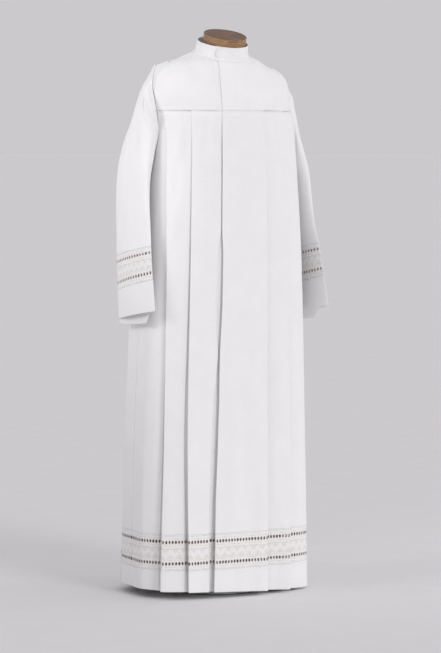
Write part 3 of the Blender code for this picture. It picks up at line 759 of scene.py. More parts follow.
def settled(points):
    """Cloth near the armholes as it settles: on the wearer's right the shoulder stands up in a peak and its
    front edge rolls outwards, and on the left the front edge lies a little further in."""
    x, y, z = np.moveaxis(points, -1, 0)
    moved = points.copy()
    at_front = eased(-y, *FRONT_FROM)
    near_side = eased(abs(x), *SIDE_FROM)
    peak = np.exp(-abs(x + PEAK_X) / PEAK_REACH) * np.exp(-((y + PEAK_FRONT) / PEAK_DEPTH) ** 2)
    peak = peak * eased(z, *PEAK_UP)
    right = (x < 0) * near_side
    moved[..., 2] += PEAK_RISE * peak * (x < 0)
    moved[..., 0] -= PEAK_LEAN * peak * (x < 0)
    moved[..., 0] -= ROLL_OUT * right * at_front * np.exp(-((z - ROLL_Z) / ROLL_HEIGHT) ** 2)
    moved[..., 0] -= DRAWN_IN * (x > 0) * near_side * at_front * np.exp(-((z - DRAWN_Z) / DRAWN_HEIGHT) ** 2)
    near_corner = np.exp(-((z - CORNER_Z) / CORNER_HEIGHT) ** 2) * eased(abs(x), *CORNER_ACROSS)
    near_corner = near_corner * eased(-y, *CORNER_FRONT)
    moved[..., 2] -= CORNER_DROP * near_corner
    return sloped(moved)


def armhole_bottom(y):
    """Height of the lower half of the armhole at this y."""
    across = np.clip((y - ARMHOLE_Y) / ARMHOLE_HALF_DEPTH, -1, 1)
    return YOKE_SEAM_Z - ARMHOLE_DROP * np.sqrt(1 - across ** 2)


def on_yoke_seam(angles):
    """Which columns end on the yoke seam instead of the armhole."""
    return abs(np.cos(angles)) >= math.cos(armhole_corner()) - 1e-9


def each_column(wanted, known, values):
    """Values looked up column by column at wanted places, from known places that rise down the column."""
    return np.stack([np.interp(*column) for column in zip(wanted.T, known.T, values.T)], axis=1)


def cloth_at(levels, heights, level_cloth):
    """Points of the hanging cloth where each of its columns reaches its own levels."""
    known = np.broadcast_to(heights[::-1, None], level_cloth.shape[:2])
    plan = [each_column(levels, known, level_cloth[::-1, :, i]) for i in (0, 1)]
    return np.stack([*plan, levels], axis=-1)


def give_thickness(piece, thickness):
    """Turns a surface into a thin closed shell."""
    bpy.ops.object.select_all(action="DESELECT")
    piece.select_set(True)
    bpy.context.view_layer.objects.active = piece
    shell = piece.modifiers.new("thickness", "SOLIDIFY")
    shell.thickness = thickness
    shell.offset = 0.0
    bpy.ops.object.modifier_apply(modifier=shell.name)


def add_cloth(name, points, places, thickness, closed=False):
    """A piece of white cloth on a grid of points, with each point's place on the flat cut."""
    made = add_surface(name, points.reshape(-1, 3), grid_faces(*points.shape[:2], closed), alb_cloth,
                       places.reshape(-1, 2))
    give_thickness(made, thickness)
    return made


alb_cloth, tree, shader = new_material("white_alb_weave")
# Plain-woven polyester and cotton: bright cool white, matt with a faint sheen, threads 0.45 mm apart drawn
# at 1.1 mm so that they show, and slubs that run along the weft
where = add_node(tree, "ShaderNodeUVMap", {"uv_map": "cut"}).outputs["UV"]
weft = add_node(tree, "ShaderNodeMapping", inputs={"Vector": where, "Scale": (30.0, 420.0, 1.0)})
slubs = add_node(tree, "ShaderNodeTexNoise", inputs={
    "Vector": weft.outputs["Vector"], "Scale": 1.0, "Detail": 3.0})
clouds = add_node(tree, "ShaderNodeTexNoise", inputs={"Vector": where, "Scale": 14.0, "Detail": 3.0})
tone = add_node(tree, "ShaderNodeMath", {"operation": "MULTIPLY_ADD"}, {
    0: slubs.outputs["Fac"], 1: 0.45, 2: 0.28})
mottled = add_node(tree, "ShaderNodeMath", {"operation": "MULTIPLY_ADD"}, {
    0: clouds.outputs["Fac"], 1: 0.5, 2: tone.outputs["Value"]})
tree.links.new(ramp_between(tree, mottled.outputs["Value"], ((0.45, "#F2F2F3"), (1.0, "#FAFAFB"))),
               shader.inputs["Base Color"])
shader.inputs["Roughness"].default_value = 0.8
shader.inputs["Specular IOR Level"].default_value = 0.25
shader.inputs["Sheen Weight"].default_value = 0.15
shader.inputs["Sheen Roughness"].default_value = 0.5
THREAD_SPACING = 1.1 * MM
weave = None
for direction in ("X", "Y"):
    threads = add_node(tree, "ShaderNodeTexWave", {"wave_type": "BANDS", "bands_direction": direction}, {
        "Vector": where, "Scale": 0.314 / THREAD_SPACING, "Distortion": 0.6, "Detail": 1.0})
    raised = threads.outputs["Fac"]
    weave = raised if weave is None else add_node(
        tree, "ShaderNodeMath", {"operation": "MAXIMUM"}, {0: weave, 1: raised}).outputs["Value"]
relief = add_node(tree, "ShaderNodeMath", {"operation": "MULTIPLY_ADD"}, {
    0: slubs.outputs["Fac"], 1: 1.5, 2: weave})
add_relief(tree, shader, relief.outputs["Value"], 0.25, 0.0002)

PANELS = {
    # stations, CAD node, and the cut widths of panel, insertion and hem, each from its solid: volume over
    # wall thickness and height
    "front_right": (right_stations, "front_right", (0.452, 0.474, 0.476)),
    "front_left": (left_stations, "front_left", (0.652, 0.693, 0.698)),
    "back": (back_stations, "back", (1.093, 1.153, 1.159)),
}
for name, (stations_of, node, cut) in PANELS.items():
    columns, distances = cloth_columns(stations_of, HEM_Z)
    heights = np.linspace(YOKE_SEAM_Z, INSERTION_TOP_Z, PANEL_LEVELS)
    level_cloth = hanging_cloth(stations_of, columns, heights)
    stations = np.array(stations_of(YOKE_SEAM_Z))
    angles = np.interp(columns, np.arange(len(stations)), stations[:, 0])
    tops = np.where(on_yoke_seam(angles), YOKE_SEAM_Z, armhole_bottom(level_cloth[0, :, 1])) - SEAM / 2
    height = YOKE_SEAM_Z - INSERTION_TOP_Z
    fall = spread(height, height - np.array((1, 3, 5, 8)) * MM, ROW_STEP) / height
    levels = tops + (INSERTION_TOP_Z - tops) * fall[:, None]
    points = settled(cloth_at(levels, heights, level_cloth))
    places = np.stack([np.broadcast_to(distances, levels.shape), levels], axis=-1)
    panel = add_cloth(f"alb_{name}", points, places, CLOTH)
    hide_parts(node)


# Openwork insertions: straight bands of white cloth let in above the hem, with two rows of overcast eyelets,
# rows of fine hemstitched slits, and a dense zigzag between broken outlines.
EYELET_PITCH = 8.8 * MM
CELLS = 4
EYELET_HALF_WIDTH = 2.85 * MM
EYELET_HALF_SHARE = 0.95
BAND_ROWS = (
    # height (mm), what the row holds
    (2.8, "plain"), (1.9, "slits"), (5.5, "plain"), (1.9, "slits"), (3.3, "plain"), (9.8, "eyelets"),
    (4.4, "plain"), (1.9, "slits"), (4.8, "plain"), (1.9, "slits"), (29.8, "zigzag"), (1.9, "slits"),
    (3.8, "plain"), (9.8, "eyelets"), (3.6, "plain"), (1.9, "slits"), (4.3, "plain"), (1.9, "slits"),
    (2.8, "plain"),
)
ROW_SPLITS = {"plain": 1, "slits": 1, "eyelets": 2, "zigzag": 12}
BAND_HEIGHT = sum(height for height, _ in BAND_ROWS)
ZIGZAG_PITCH = 25.0
ZIGZAG_RISE = 13.6
ZIGZAG_LINES = (67.4, 51.9)
RIM_LIFT = 0.35 * MM
RIBBON_LIFT = 0.45 * MM
SLIT_HALF = (0.34, 0.30)
OPEN_SLITS = 0.03
PLAIN_CELLS = 0.15
SLIT_SIZES = (0.8, 1.1)
# a slit's least tint, what chance adds to it, and the power that chance is raised to
SLIT_TINT = (0.18, 0.5, 2.5)
EYELET_SIZES = (0.88, 1.08)
EYELET_LEAN = 0.12
EYELET_RIMS = (
    # an eyelet's rims from the outside in: size as a share of the hole, lift as a share of the rim's lift
    (1.12, 1.0), (1.0, 0.5), (0.66, -0.3),
)
EYELET_OUTER_TINT = 0.12
EYELET_REACH = 1.04
GROUND_TINT = 0.27
# how far the eyelets' rims tint towards the painted shade of dark brown: deeper at the hem, where the robe's
# shadowed inside shows through, than on the sleeves
HEM_HOLES = (0.80, 1.0)
SLEEVE_HOLES = (0.66, 0.90)
SLEEVE_HOLE_SHARE = 0.78


def band_levels():
    """The band's lines from the top, as shares of its height, and what lies below each line."""
    levels, kinds = [0.0], []
    for height, kind in BAND_ROWS:
        for _ in range(ROW_SPLITS[kind]):
            levels.append(levels[-1] + height / ROW_SPLITS[kind] / BAND_HEIGHT)
            kinds.append(kind)
    return np.array(levels), kinds


def zigzag_line(base, across):
    """Distance from the band's top (mm) of one broken outline, at distances along the band (mm)."""
    swing = abs((across / ZIGZAG_PITCH) % 1 - 0.5) * 2
    return base - ZIGZAG_RISE * (1 - swing)


def grid_normals(points, closed):
    """Outward normals of a grid whose rows run down and whose columns run towards +X."""
    across = np.roll(points, -1, 1) - np.roll(points, 1, 1) if closed else np.gradient(points, axis=1)
    normal = np.cross(np.gradient(points, axis=0), across)
    return normal / np.linalg.norm(normal, axis=2, keepdims=True)


def between_grid(grid, rows, columns):
    """Values of a grid at fractional rows and columns, running on from the last column to the first."""
    i = np.clip(np.floor(rows).astype(int), 0, len(grid) - 2)
    j = np.floor(columns).astype(int)
    down, along = (rows - i)[..., None], (columns - j)[..., None]
    count = grid.shape[1]
    j, k = j % count, (j + 1) % count
    return ((grid[i, j] * (1 - along) + grid[i, k] * along) * (1 - down)
            + (grid[i + 1, j] * (1 - along) + grid[i + 1, k] * along) * down)


def openwork(name, points, distances, closed, hole_marks, material):
    """One openwork band on a grid of points: a row for each level, four columns for each eyelet."""
    levels, kinds = band_levels()
    normals = grid_normals(points, closed)
    count = points.shape[1]
    last = count if closed else count - 1
    across = distances[None, :] / MM
    down = levels[:, None] * BAND_HEIGHT
    upper, lower = zigzag_line(ZIGZAG_LINES[1], across), zigzag_line(ZIGZAG_LINES[0], across)
    inside = eased(down, upper + 1.5, upper + 3.5) * (1 - eased(down, lower - 3.5, lower - 1.5))
    points = points + normals * (RIBBON_LIFT * inside)[..., None]
    flat = np.stack(np.broadcast_arrays(distances[None, :], -levels[:, None] * BAND_HEIGHT * MM), axis=-1)
    edge = np.zeros(points.shape[:2])
    vertices, places, edges = [points.reshape(-1, 3)], [flat.reshape(-1, 2)], [edge]
    total = points.shape[0] * count
    faces = []
    rng = np.random.default_rng(7)
    directions = [(-1, a) for a in (-2, -1, 0, 1, 2)] + [(0, 2)]
    directions += [(1, a) for a in (2, 1, 0, -1, -2)] + [(0, -2)]
    b, a = np.array(directions, float).T
    turn = np.arctan2(b, a / 2)
    i = 0
    while i < len(kinds):
        kind = kinds[i]
        if kind == "eyelets":
            width = EYELET_HALF_WIDTH / (EYELET_PITCH / CELLS) * (SLEEVE_HOLE_SHARE if closed else 1)
            for j in range(0, last, CELLS):
                size = rng.uniform(*EYELET_SIZES)
                lean = rng.uniform(-EYELET_LEAN, EYELET_LEAN)
                ring = [(i + 1 + int(r)) * count + (j + 2 + int(c)) % count for r, c in directions]
                start = total
                # how far this eyelet's rims tint towards the dark brown painted shade of its hole
                deep = rng.uniform(*hole_marks)
                for (scale, lift), mark in zip(EYELET_RIMS, (EYELET_OUTER_TINT, deep, deep)):
                    rows = i + 1 + np.sin(turn) * EYELET_HALF_SHARE * min(scale, EYELET_REACH)
                    columns = j + 2 + np.cos(turn) * width * scale * size + lean * np.sin(turn)
                    at = between_grid(points, rows, columns)
                    at = at + between_grid(normals, rows, columns) * RIM_LIFT * lift
                    vertices.append(at)
                    places.append(between_grid(flat, rows, np.clip(columns, 0, count - 1.001)))
                    edges.append(np.full(len(turn), mark))
                    total += len(turn)
                rims = [ring, *np.arange(start, total).reshape(3, -1).tolist()]
                for outer, inner in zip(rims, rims[1:]):
                    for k in range(len(turn)):
                        n = (k + 1) % len(turn)
                        faces.append((outer[k], inner[k], inner[n], outer[n]))
            i += 2
            continue
        for j in range(last):
            k = (j + 1) % count
            corners = (i * count + j, (i + 1) * count + j, (i + 1) * count + k, i * count + k)
            middle = (levels[i] + levels[i + 1]) / 2 * BAND_HEIGHT
            at = distances[j] / MM + EYELET_PITCH / CELLS / MM / 2
            between_lines = zigzag_line(ZIGZAG_LINES[1], at) < middle < zigzag_line(ZIGZAG_LINES[0], at)
            barred = kind == "slits" and rng.random() > PLAIN_CELLS
            if kind == "zigzag" and not between_lines:
                edge[i, j] = GROUND_TINT * (1 if i % 2 else 0.4)
            if not barred:
                faces.append(corners)
                continue
            rows = i + 0.5 + np.array((-1, 1, 1, -1)) * SLIT_HALF[1] * rng.uniform(*SLIT_SIZES)
            columns = j + 0.5 + np.array((-1, -1, 1, 1)) * SLIT_HALF[0] * rng.uniform(*SLIT_SIZES)
            hole = np.arange(4) + total
            vertices.append(between_grid(points, rows, columns))
            places.append(between_grid(flat, rows, np.clip(columns, 0, count - 1.001)))
            least, more, power = SLIT_TINT
            edges.append(np.full(4, least + more * rng.random() ** power))
            total += 4
            for n in range(4):
                m = (n + 1) % 4
                faces.append((corners[n], corners[m], hole[m], hole[n]))
            if rng.random() > OPEN_SLITS:
                faces.append(tuple(hole))
        i += 1
    edges[0] = edge.ravel()
    band = add_surface(name, np.concatenate(vertices), faces, material, np.concatenate(places))
    marks = band.data.attributes.new("open_edge", "FLOAT", "POINT")
    marks.data.foreach_set("value", np.concatenate(edges))
    give_thickness(band, CLOTH)
    return band


openwork_cloth, tree, shader = new_material("white_openwork_weave")
# The same white cloth, with ecru overcasting thread that tints the rims of the holes and slits, running to a
# dark brown that is painted shade for the shadowed inside seen through the holes
where = add_node(tree, "ShaderNodeUVMap", {"uv_map": "cut"}).outputs["UV"]
clouds = add_node(tree, "ShaderNodeTexNoise", inputs={"Vector": where, "Scale": 120.0, "Detail": 3.0})
ground = ramp_between(tree, clouds.outputs["Fac"], ((0.3, "#F1F1F1"), (0.7, "#F9F9F9")))
rims = add_node(tree, "ShaderNodeAttribute", {"attribute_name": "open_edge"})
# From ecru thread tints to the dark brown of painted shade inside the holes
thread_tint_and_hole_shade = ramp_between(tree, rims.outputs["Fac"], (
    (0.0, "#FFFFFF"), (0.3, "#F1EAE5"), (0.62, "#D9C7BA"), (1.0, "#452B1D")))
tinted = add_node(tree, "ShaderNodeMix", {"data_type": "RGBA", "blend_type": "MULTIPLY"}, {
    0: 1.0, 6: ground, 7: thread_tint_and_hole_shade})
tree.links.new(tinted.outputs[2], shader.inputs["Base Color"])
shader.inputs["Roughness"].default_value = 0.8
shader.inputs["Specular IOR Level"].default_value = 0.25
shader.inputs["Sheen Weight"].default_value = 0.15
thick = add_node(tree, "ShaderNodeTexWave", {"wave_type": "BANDS", "bands_direction": "Y"}, {
    "Vector": where, "Scale": 0.314 / (1.6 * MM), "Distortion": 1.0})
add_relief(tree, shader, thick.outputs["Fac"], 0.35, 0.0003)

band_shares, _ = band_levels()
for name, (stations_of, node, cut) in PANELS.items():
    fine, travelled, _, _ = cloth_line(stations_of, (INSERTION_TOP_Z + INSERTION_END_Z) / 2)
    eyelets = round(travelled[-1] / EYELET_PITCH)
    distances = np.linspace(0, travelled[-1], eyelets * CELLS + 1)
    columns = np.interp(distances, travelled, fine)
    top, bottom = INSERTION_TOP_Z - SEAM, INSERTION_END_Z
    points = hanging_cloth(stations_of, columns, top + (bottom - top) * band_shares)
    band = openwork(f"alb_insertion_{name}", points, distances, False, HEM_HOLES, openwork_cloth)
    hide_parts(f"lace_{node}")


# Hem borders: a deep hem turned up to the insertion, so two layers thick, that dips a little towards the
# wearer's left.
HEM_THICKNESS = 1.1 * MM
HEM_MIDDLE_Z = 0.0135
HEM_DIP = 0.04
hem_lines = []
for name, (stations_of, node, cut) in PANELS.items():
    columns, distances = cloth_columns(stations_of, HEM_Z)
    top = INSERTION_END_Z - SEAM
    heights = np.linspace(top, 0.0, HEM_LEVELS)
    level_cloth = hanging_cloth(stations_of, columns, heights)
    bottoms = HEM_MIDDLE_Z - HEM_DIP * level_cloth[-1, :, 0]
    share = np.array((0, 0.02, 0.05, 0.09, 0.2, 0.35, 0.5, 0.65, 0.8, 0.92, 0.97, 1.0))
    levels = top + (bottoms - top) * share[:, None]
    points = cloth_at(levels, heights, level_cloth)
    places = np.stack([np.broadcast_to(distances, levels.shape), levels], axis=-1)
    hem = add_cloth(f"alb_hem_{name}", points, places, HEM_THICKNESS)
    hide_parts(f"hem_{node}")
    out = grid_normals(points, False)[2]
    hem_lines.append((points[2] + out * HEM_THICKNESS / 2, out))


# Yoke: two fronts and a back of the same cloth, cut plain and joined along the shoulders. The left front laps
# over the right one, and the lower edge is turned in and topstitched over the pleats as a flat 8 mm band.
YOKE_BAND = 8.0
YOKE_BAND_MARKS = np.array((14, 11, 9.2, 8.4, 8.0, 7.5, 6.6, 3, 1.2, 0.5, 0)) * MM
YOKE_ROWS = 26
YOKE_PATH_STEPS = 160
YOKE_COLUMN_STEP = 5 * MM
YOKE_TOPSTITCH_MARK = 4
SHOULDER_WELT = 0.5
OPENING = angle_at(YOKE_SEAM_Z, -OPENING_EDGES[0, 2] * MM)
UNDERLAP_EDGE = angle_at(YOKE_SEAM_Z, (UNDERLAP[0][0] - OPENING_EDGES[0, 1]) * MM)
OPENING_LEAN = math.radians(7.0)
OPENING_LEAN_REACH = math.radians(13)
UNDERLAP_LEAD = math.radians(7)
UNDERLAP_EASE = math.radians(5)
YOKE_CREASES = (
    # across from, height above the seam from, across to, height to (mm), width, depth (mm)
    (-13, 4, -10, 92, 7, -1.0), (10, 4, 10, 88, 6, 0.9), (32, 4, 31, 98, 8, -1.0), (58, 4, 66, 70, 9, 0.8),
    (96, 4, 104, 84, 10, -0.9), (-88, 4, -84, 76, 9, -0.7), (-120, 4, -128, 60, 9, 0.8),
    (-104, 128, -140, 150, 6, -1.6), (-92, 138, -120, 166, 6, 1.0), (92, 140, 128, 156, 8, -1.0),
    (140, 8, 150, 92, 9, -1.2), (-150, 10, -156, 84, 8, -1.2),
)
BACK_YOKE_CREASES = (
    (-70, 6, -62, 96, 10, 1.0), (24, 4, 18, 110, 9, -0.9), (88, 6, 96, 80, 9, 0.9),
    (-128, 8, -138, 90, 10, -1.2), (132, 8, 142, 90, 10, -1.2), (-20, 90, 10, 130, 8, -0.8),
)


def yoke_ends(angles):
    """How far down the yoke runs at each angle: to its seam, or to the armhole."""
    low, high = np.zeros(len(angles)), np.ones(len(angles))
    for _ in range(30):
        middle = (low + high) / 2
        _, y, z = yoke_point(angles, middle).T
        inside = ((y - ARMHOLE_Y) / ARMHOLE_HALF_DEPTH) ** 2 + ((z - YOKE_SEAM_Z) / ARMHOLE_RISE) ** 2 < 1
        low, high = np.where(inside, low, middle), np.where(inside, middle, high)
    return np.where(on_yoke_seam(angles), 1.0, high)


def yoke_angles(start, end):
    """Angles 5 mm apart along the yoke seam, closer together where they end on an armhole."""
    fine = np.linspace(start, end, 2000)
    travelled = run_length(outline(YOKE_SEAM_Z, fine))
    steps = math.ceil(travelled[-1] / YOKE_COLUMN_STEP)
    return np.interp(np.linspace(0, travelled[-1], steps + 1), travelled, fine)


def armhole_angles(start, end):
    """Angles across half an armhole, closest together at its corner, where its edge is steepest."""
    if start > end:
        return armhole_angles(end, start)[::-1]
    return start + (end - start) * (1 - np.cos(np.linspace(0, math.pi / 2, 27)))


def near_opening(angles):
    """How strongly lines of the yoke lean with the opening, from 1 on it to 0 away from it."""
    return np.exp(-((angles - OPENING) / OPENING_LEAN_REACH) ** 2)


def yoke_surface(angles, creases, laps_under):
    """Points, normals and distances up from the lower edge (mm) of one piece of the yoke."""
    ends = yoke_ends(angles)
    shares = np.linspace(0, 1, YOKE_PATH_STEPS)[:, None] * ends
    leaning = angles + OPENING_LEAN * (1 - shares) ** 1.8 * near_opening(angles)
    path = yoke_point(leaning, shares)
    lengths = np.concatenate([np.zeros((1, len(angles))),
                              np.cumsum(np.linalg.norm(np.diff(path, axis=0), axis=2), axis=0)])
    top = np.linspace(0, 1, YOKE_ROWS)[:-1, None] * (lengths[-1] - YOKE_BAND_MARKS[0])
    down = np.concatenate([top, lengths[-1] - YOKE_BAND_MARKS[:, None]])
    at = each_column(down, lengths, shares)
    lean = each_column(at, shares, leaning)
    points, normals = yoke_point(lean, at), yoke_normal(lean, at)
    up = (lengths[-1] - down) / MM
    seamed = (ends == 1.0).astype(float)
    lift = creased(points[..., 0] / MM, up, creases) / MM * eased(up, 6, 16)
    lift += seamed * (0.55 * (1 - eased(up, YOKE_BAND - 0.3, YOKE_BAND + 1.0)) * eased(up, -0.2, 0.6)
                      - 0.35 * np.exp(-((up - YOKE_BAND) / 0.7) ** 2))
    lift += SHOULDER_WELT * np.exp(-(np.cos(angles) * 120 / 3.0) ** 2)
    if laps_under:
        sinks_from = -abs(OPENING) - UNDERLAP_LEAD
        lift -= LAYER / MM * eased(-abs(lean), sinks_from, UNDERLAP_EASE - abs(OPENING) - UNDERLAP_LEAD)
    points = points + normals * (lift * MM)[..., None]
    points[..., 2] = np.maximum(points[..., 2], YOKE_SEAM_Z + SEAM / 2)
    return points, normals, up


def stitch_line(points, normals, pitch=2.7 * MM, length=2.0 * MM):
    """Ends and outward directions of the stitches along a line of points on the cloth."""
    travelled = run_length(points)
    starts = np.arange(pitch / 2, travelled[-1] - length, pitch)
    at = [np.column_stack([np.interp(place, travelled, points[:, i]) for i in range(3)])
          for place in (starts, starts + length)]
    out = np.column_stack([np.interp(starts, travelled, normals[:, i]) for i in range(3)])
    return np.stack([*at, out], axis=1)


def add_stitches(name, runs):
    """Topstitching: each stitch a thin six-sided spindle of thread that dips into the cloth at its ends."""
    stitches = np.concatenate(runs)
    start, end, out = stitches[:, 0], stitches[:, 1], stitches[:, 2]
    out = out / np.linalg.norm(out, axis=1, keepdims=True)
    side = np.cross(end - start, out)
    side /= np.linalg.norm(side, axis=1, keepdims=True)
    turns = np.arange(6) * math.pi / 3
    points, faces = [], []
    for share, size, height in ((0, 0.10, 0.10), (0.25, 0.21, 0.34), (0.75, 0.21, 0.34), (1, 0.10, 0.10)):
        middle = start + (end - start) * share + out * height * MM
        ring = (side[:, None] * np.cos(turns)[:, None] + out[:, None] * np.sin(turns)[:, None]) * size * MM
        points.append(middle[:, None] + ring)
    points = np.stack(points, axis=1)
    cells = [(r * 6 + c, r * 6 + (c + 1) % 6, (r + 1) * 6 + (c + 1) % 6, (r + 1) * 6 + c)
             for r in range(3) for c in range(6)]
    shape = [tuple(cell[::-1]) for cell in cells] + [tuple(range(6)), tuple(range(23, 17, -1))]
    for n in range(len(points)):
        faces += [tuple(n * 24 + corner for corner in face) for face in shape]
    return add_surface(name, points.reshape(-1, 3), faces, white_thread)


white_thread, tree, shader = new_material("white_sewing_thread")
# Spun polyester thread: a slightly brighter, silkier white than the cloth, with a fine twist along it
where = add_node(tree, "ShaderNodeTexCoord").outputs["Object"]
twist = add_node(tree, "ShaderNodeTexNoise", inputs={"Vector": where, "Scale": 1800.0})
tree.links.new(ramp_between(tree, twist.outputs["Fac"], ((0.3, "#E6E4E4"), (0.7, "#FAFAFA"))),
               shader.inputs["Base Color"])
shader.inputs["Roughness"].default_value = 0.5
shader.inputs["Specular IOR Level"].default_value = 0.4

quarter = math.pi / 2
corner = armhole_corner()
YOKE_PIECES = {
    # angles of its columns, creases, whether it laps under, cut width, length and area
    "front_right": (np.concatenate([armhole_angles(-quarter, -corner)[:-1],
                                    yoke_angles(-corner, UNDERLAP_EDGE)]),
                    YOKE_CREASES, True, (0.178, 0.203, 0.0356)),
    "front_left": (np.concatenate([yoke_angles(OPENING, corner)[:-1], armhole_angles(corner, quarter)]),
                   YOKE_CREASES, False, (0.261, 0.205, 0.0479)),
    "back": (np.concatenate([armhole_angles(quarter, math.pi - corner)[:-1],
                             yoke_angles(math.pi - corner, math.pi + corner)[:-1],
                             armhole_angles(math.pi + corner, 3 * quarter)]),
             BACK_YOKE_CREASES, False, (0.398, 0.225, 0.0880)),
}
hem_thread = add_stitches("stitching_hem", [stitch_line(*line) for line in hem_lines])
yoke_stitches = []
for name, (angles, creases, laps_under, cut) in YOKE_PIECES.items():
    points, normals, up = yoke_surface(angles, creases, laps_under)
    points = settled(points)
    for side in (quarter, -quarter, 3 * quarter):
        at_shoulder = abs(angles - side) < 1e-9
        points[:, at_shoulder, 1] += SEAM / 2 * (1 if name == "back" else -1)
    slope = points[..., 2] + points[..., 1] * (-1 if name == "back" else 1)
    places = np.stack([points[..., 0], slope], axis=-1)
    yoke = add_cloth(f"alb_yoke_{name}", points, places, CLOTH)
    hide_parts(f"yoke_{name}")
    seam_columns = on_yoke_seam(angles)
    row = YOKE_ROWS - 1 + YOKE_TOPSTITCH_MARK
    yoke_stitches.append(stitch_line(points[row, seam_columns], normals[row, seam_columns]))
    if name == "front_left":
        yoke_stitches.append(stitch_line(points[:row, 1], normals[:row, 1]))
yoke_thread = add_stitches("stitching_yoke", yoke_stitches)


# Collar: a stand of doubled cloth, stiffened inside, sewn to the neck and closed by a rounded tab that laps
# over towards the wearer's right. Rim, tab and base are edge-stitched.
COLLAR_THICKNESS = 1.3 * MM
COLLAR_LINE = (
    # height on the collar (m), radius (m)
    (0.0030, 0.0738), (0.0080, 0.0722), (0.0160, 0.0708), (0.0260, 0.0695), (0.0350, 0.0688),
)
COLLAR_FLARE = (0.0018, 0.0042, 0.0062)
COLLAR_GAP = 1.15 * MM
COLLAR_HEIGHT = 35
COLLAR_CUT_RADIUS = 0.073
TAB_LENGTH = 20
COLLAR_MARKS = np.array((
    0, 0.5, 1.2, 2.2, 3.0, 3.8, 6, 10, 15, 20, 25, 29, 31.2, 32, 32.8, 33.8, 34.5, 35)) / COLLAR_HEIGHT
COLLAR_STITCHING = (3.0, 32.0)
COLLAR_OVER_END = math.radians(-38)
COLLAR_CORNER = math.radians(7.2)
TAB_LIFT = 4.0 * MM
TAB_REACH = 11
COLLAR_SINK_LEAD = math.radians(10)
COLLAR_SINK_REACH = math.radians(9)
FLARE_SINK = (344, 351)
COLLAR_CREASES = (
    # angle from, height from, angle to, height to (degrees, mm), width, depth (mm)
    (-14, 0, -16, 24, 2.2, -0.9), (-34, 8, -24, 30, 3.0, 0.5), (30, 2, 34, 30, 4.0, -0.5),
    (118, 0, 124, 30, 5.0, -0.6), (-86, 0, -80, 26, 4.0, -0.5), (226, 2, 230, 30, 5.0, -0.5),
)

heights = COLLAR_MARKS[::-1, None]
even = np.concatenate([[0, 0.4, 1.0, 1.8], np.arange(3.0, 383, 1.6), [383.5, 384]])
turns = np.radians(np.broadcast_to(even - 38, (len(heights), len(even)))).copy()
tab = np.clip(1 - even / TAB_LENGTH, 0, 1)
edge = COLLAR_CORNER * abs(2 * heights - 1) ** 2.2
turns += edge * tab
keys = np.array(COLLAR_LINE)
rise = heights * keys[-1, 0] + (1 - heights) * keys[0, 0]
radius = np.interp(rise, keys[:, 0], keys[:, 1])
under = math.radians(360) + COLLAR_OVER_END - COLLAR_SINK_LEAD
radius = radius - LAYER * eased(turns, under, under + COLLAR_SINK_REACH)
radius = radius + TAB_LIFT * (1 - eased(even, 0, TAB_REACH)) * eased(heights, 0.04, 0.3)
bend = creased(np.degrees(turns), rise / MM, COLLAR_CREASES)
bend += creased(np.degrees(turns) - 360, rise / MM, COLLAR_CREASES)
bend -= 0.25 * MM * sum(np.exp(-((rise / MM - line) / 0.8) ** 2) for line in COLLAR_STITCHING)
points = neck_point(turns, radius + bend, np.broadcast_to(rise, turns.shape))
robe_angles = np.linspace(-math.pi / 2, 2.5 * math.pi, 3000)
leaning = robe_angles + OPENING_LEAN * near_opening(robe_angles)
base_turns = np.interp(turns[-1], np.unwrap(neck_angle(leaning)), robe_angles)
flare = []
for down in COLLAR_FLARE:
    reach = np.linalg.norm(yoke_point(base_turns, 0.05) - yoke_point(base_turns, 0.0), axis=1) / 0.05
    shares = down / reach
    sunk = LAYER * eased(even, *FLARE_SINK)
    flare.append(sloped(yoke_point(base_turns, shares)
                        + yoke_normal(base_turns, shares) * (COLLAR_GAP - sunk[:, None])))
points = np.concatenate([points, np.array(flare)])
normals = grid_normals(points, False)
rise = np.concatenate([rise, [[-0.001], [-0.003], [-0.005]]])
turns = np.concatenate([turns, np.repeat(turns[-1:], 3, axis=0)])
places = np.stack([turns * COLLAR_CUT_RADIUS, np.broadcast_to(rise, turns.shape)], axis=-1)
collar = add_cloth("alb_collar", points, places, COLLAR_THICKNESS)
rim = collar.modifiers.new("rolled_edges", "BEVEL")
rim.width = 0.45 * MM
rim.segments = 3
rim.limit_method = "ANGLE"
rim.angle_limit = math.radians(60)
bpy.ops.object.modifier_apply(modifier=rim.name)
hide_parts("collar")
proud = normals * COLLAR_THICKNESS / 2
lines = [int(np.argmin(abs(COLLAR_MARKS[::-1] * COLLAR_HEIGHT - line))) for line in COLLAR_STITCHING]
collar_runs = [stitch_line(points[line, 4:] + proud[line, 4:], normals[line, 4:]) for line in lines]
end_rows = slice(lines[1], lines[0] + 1)
collar_runs.append(stitch_line(points[end_rows, 4] + proud[end_rows, 4], normals[end_rows, 4]))
collar_thread = add_stitches("stitching_collar", collar_runs)


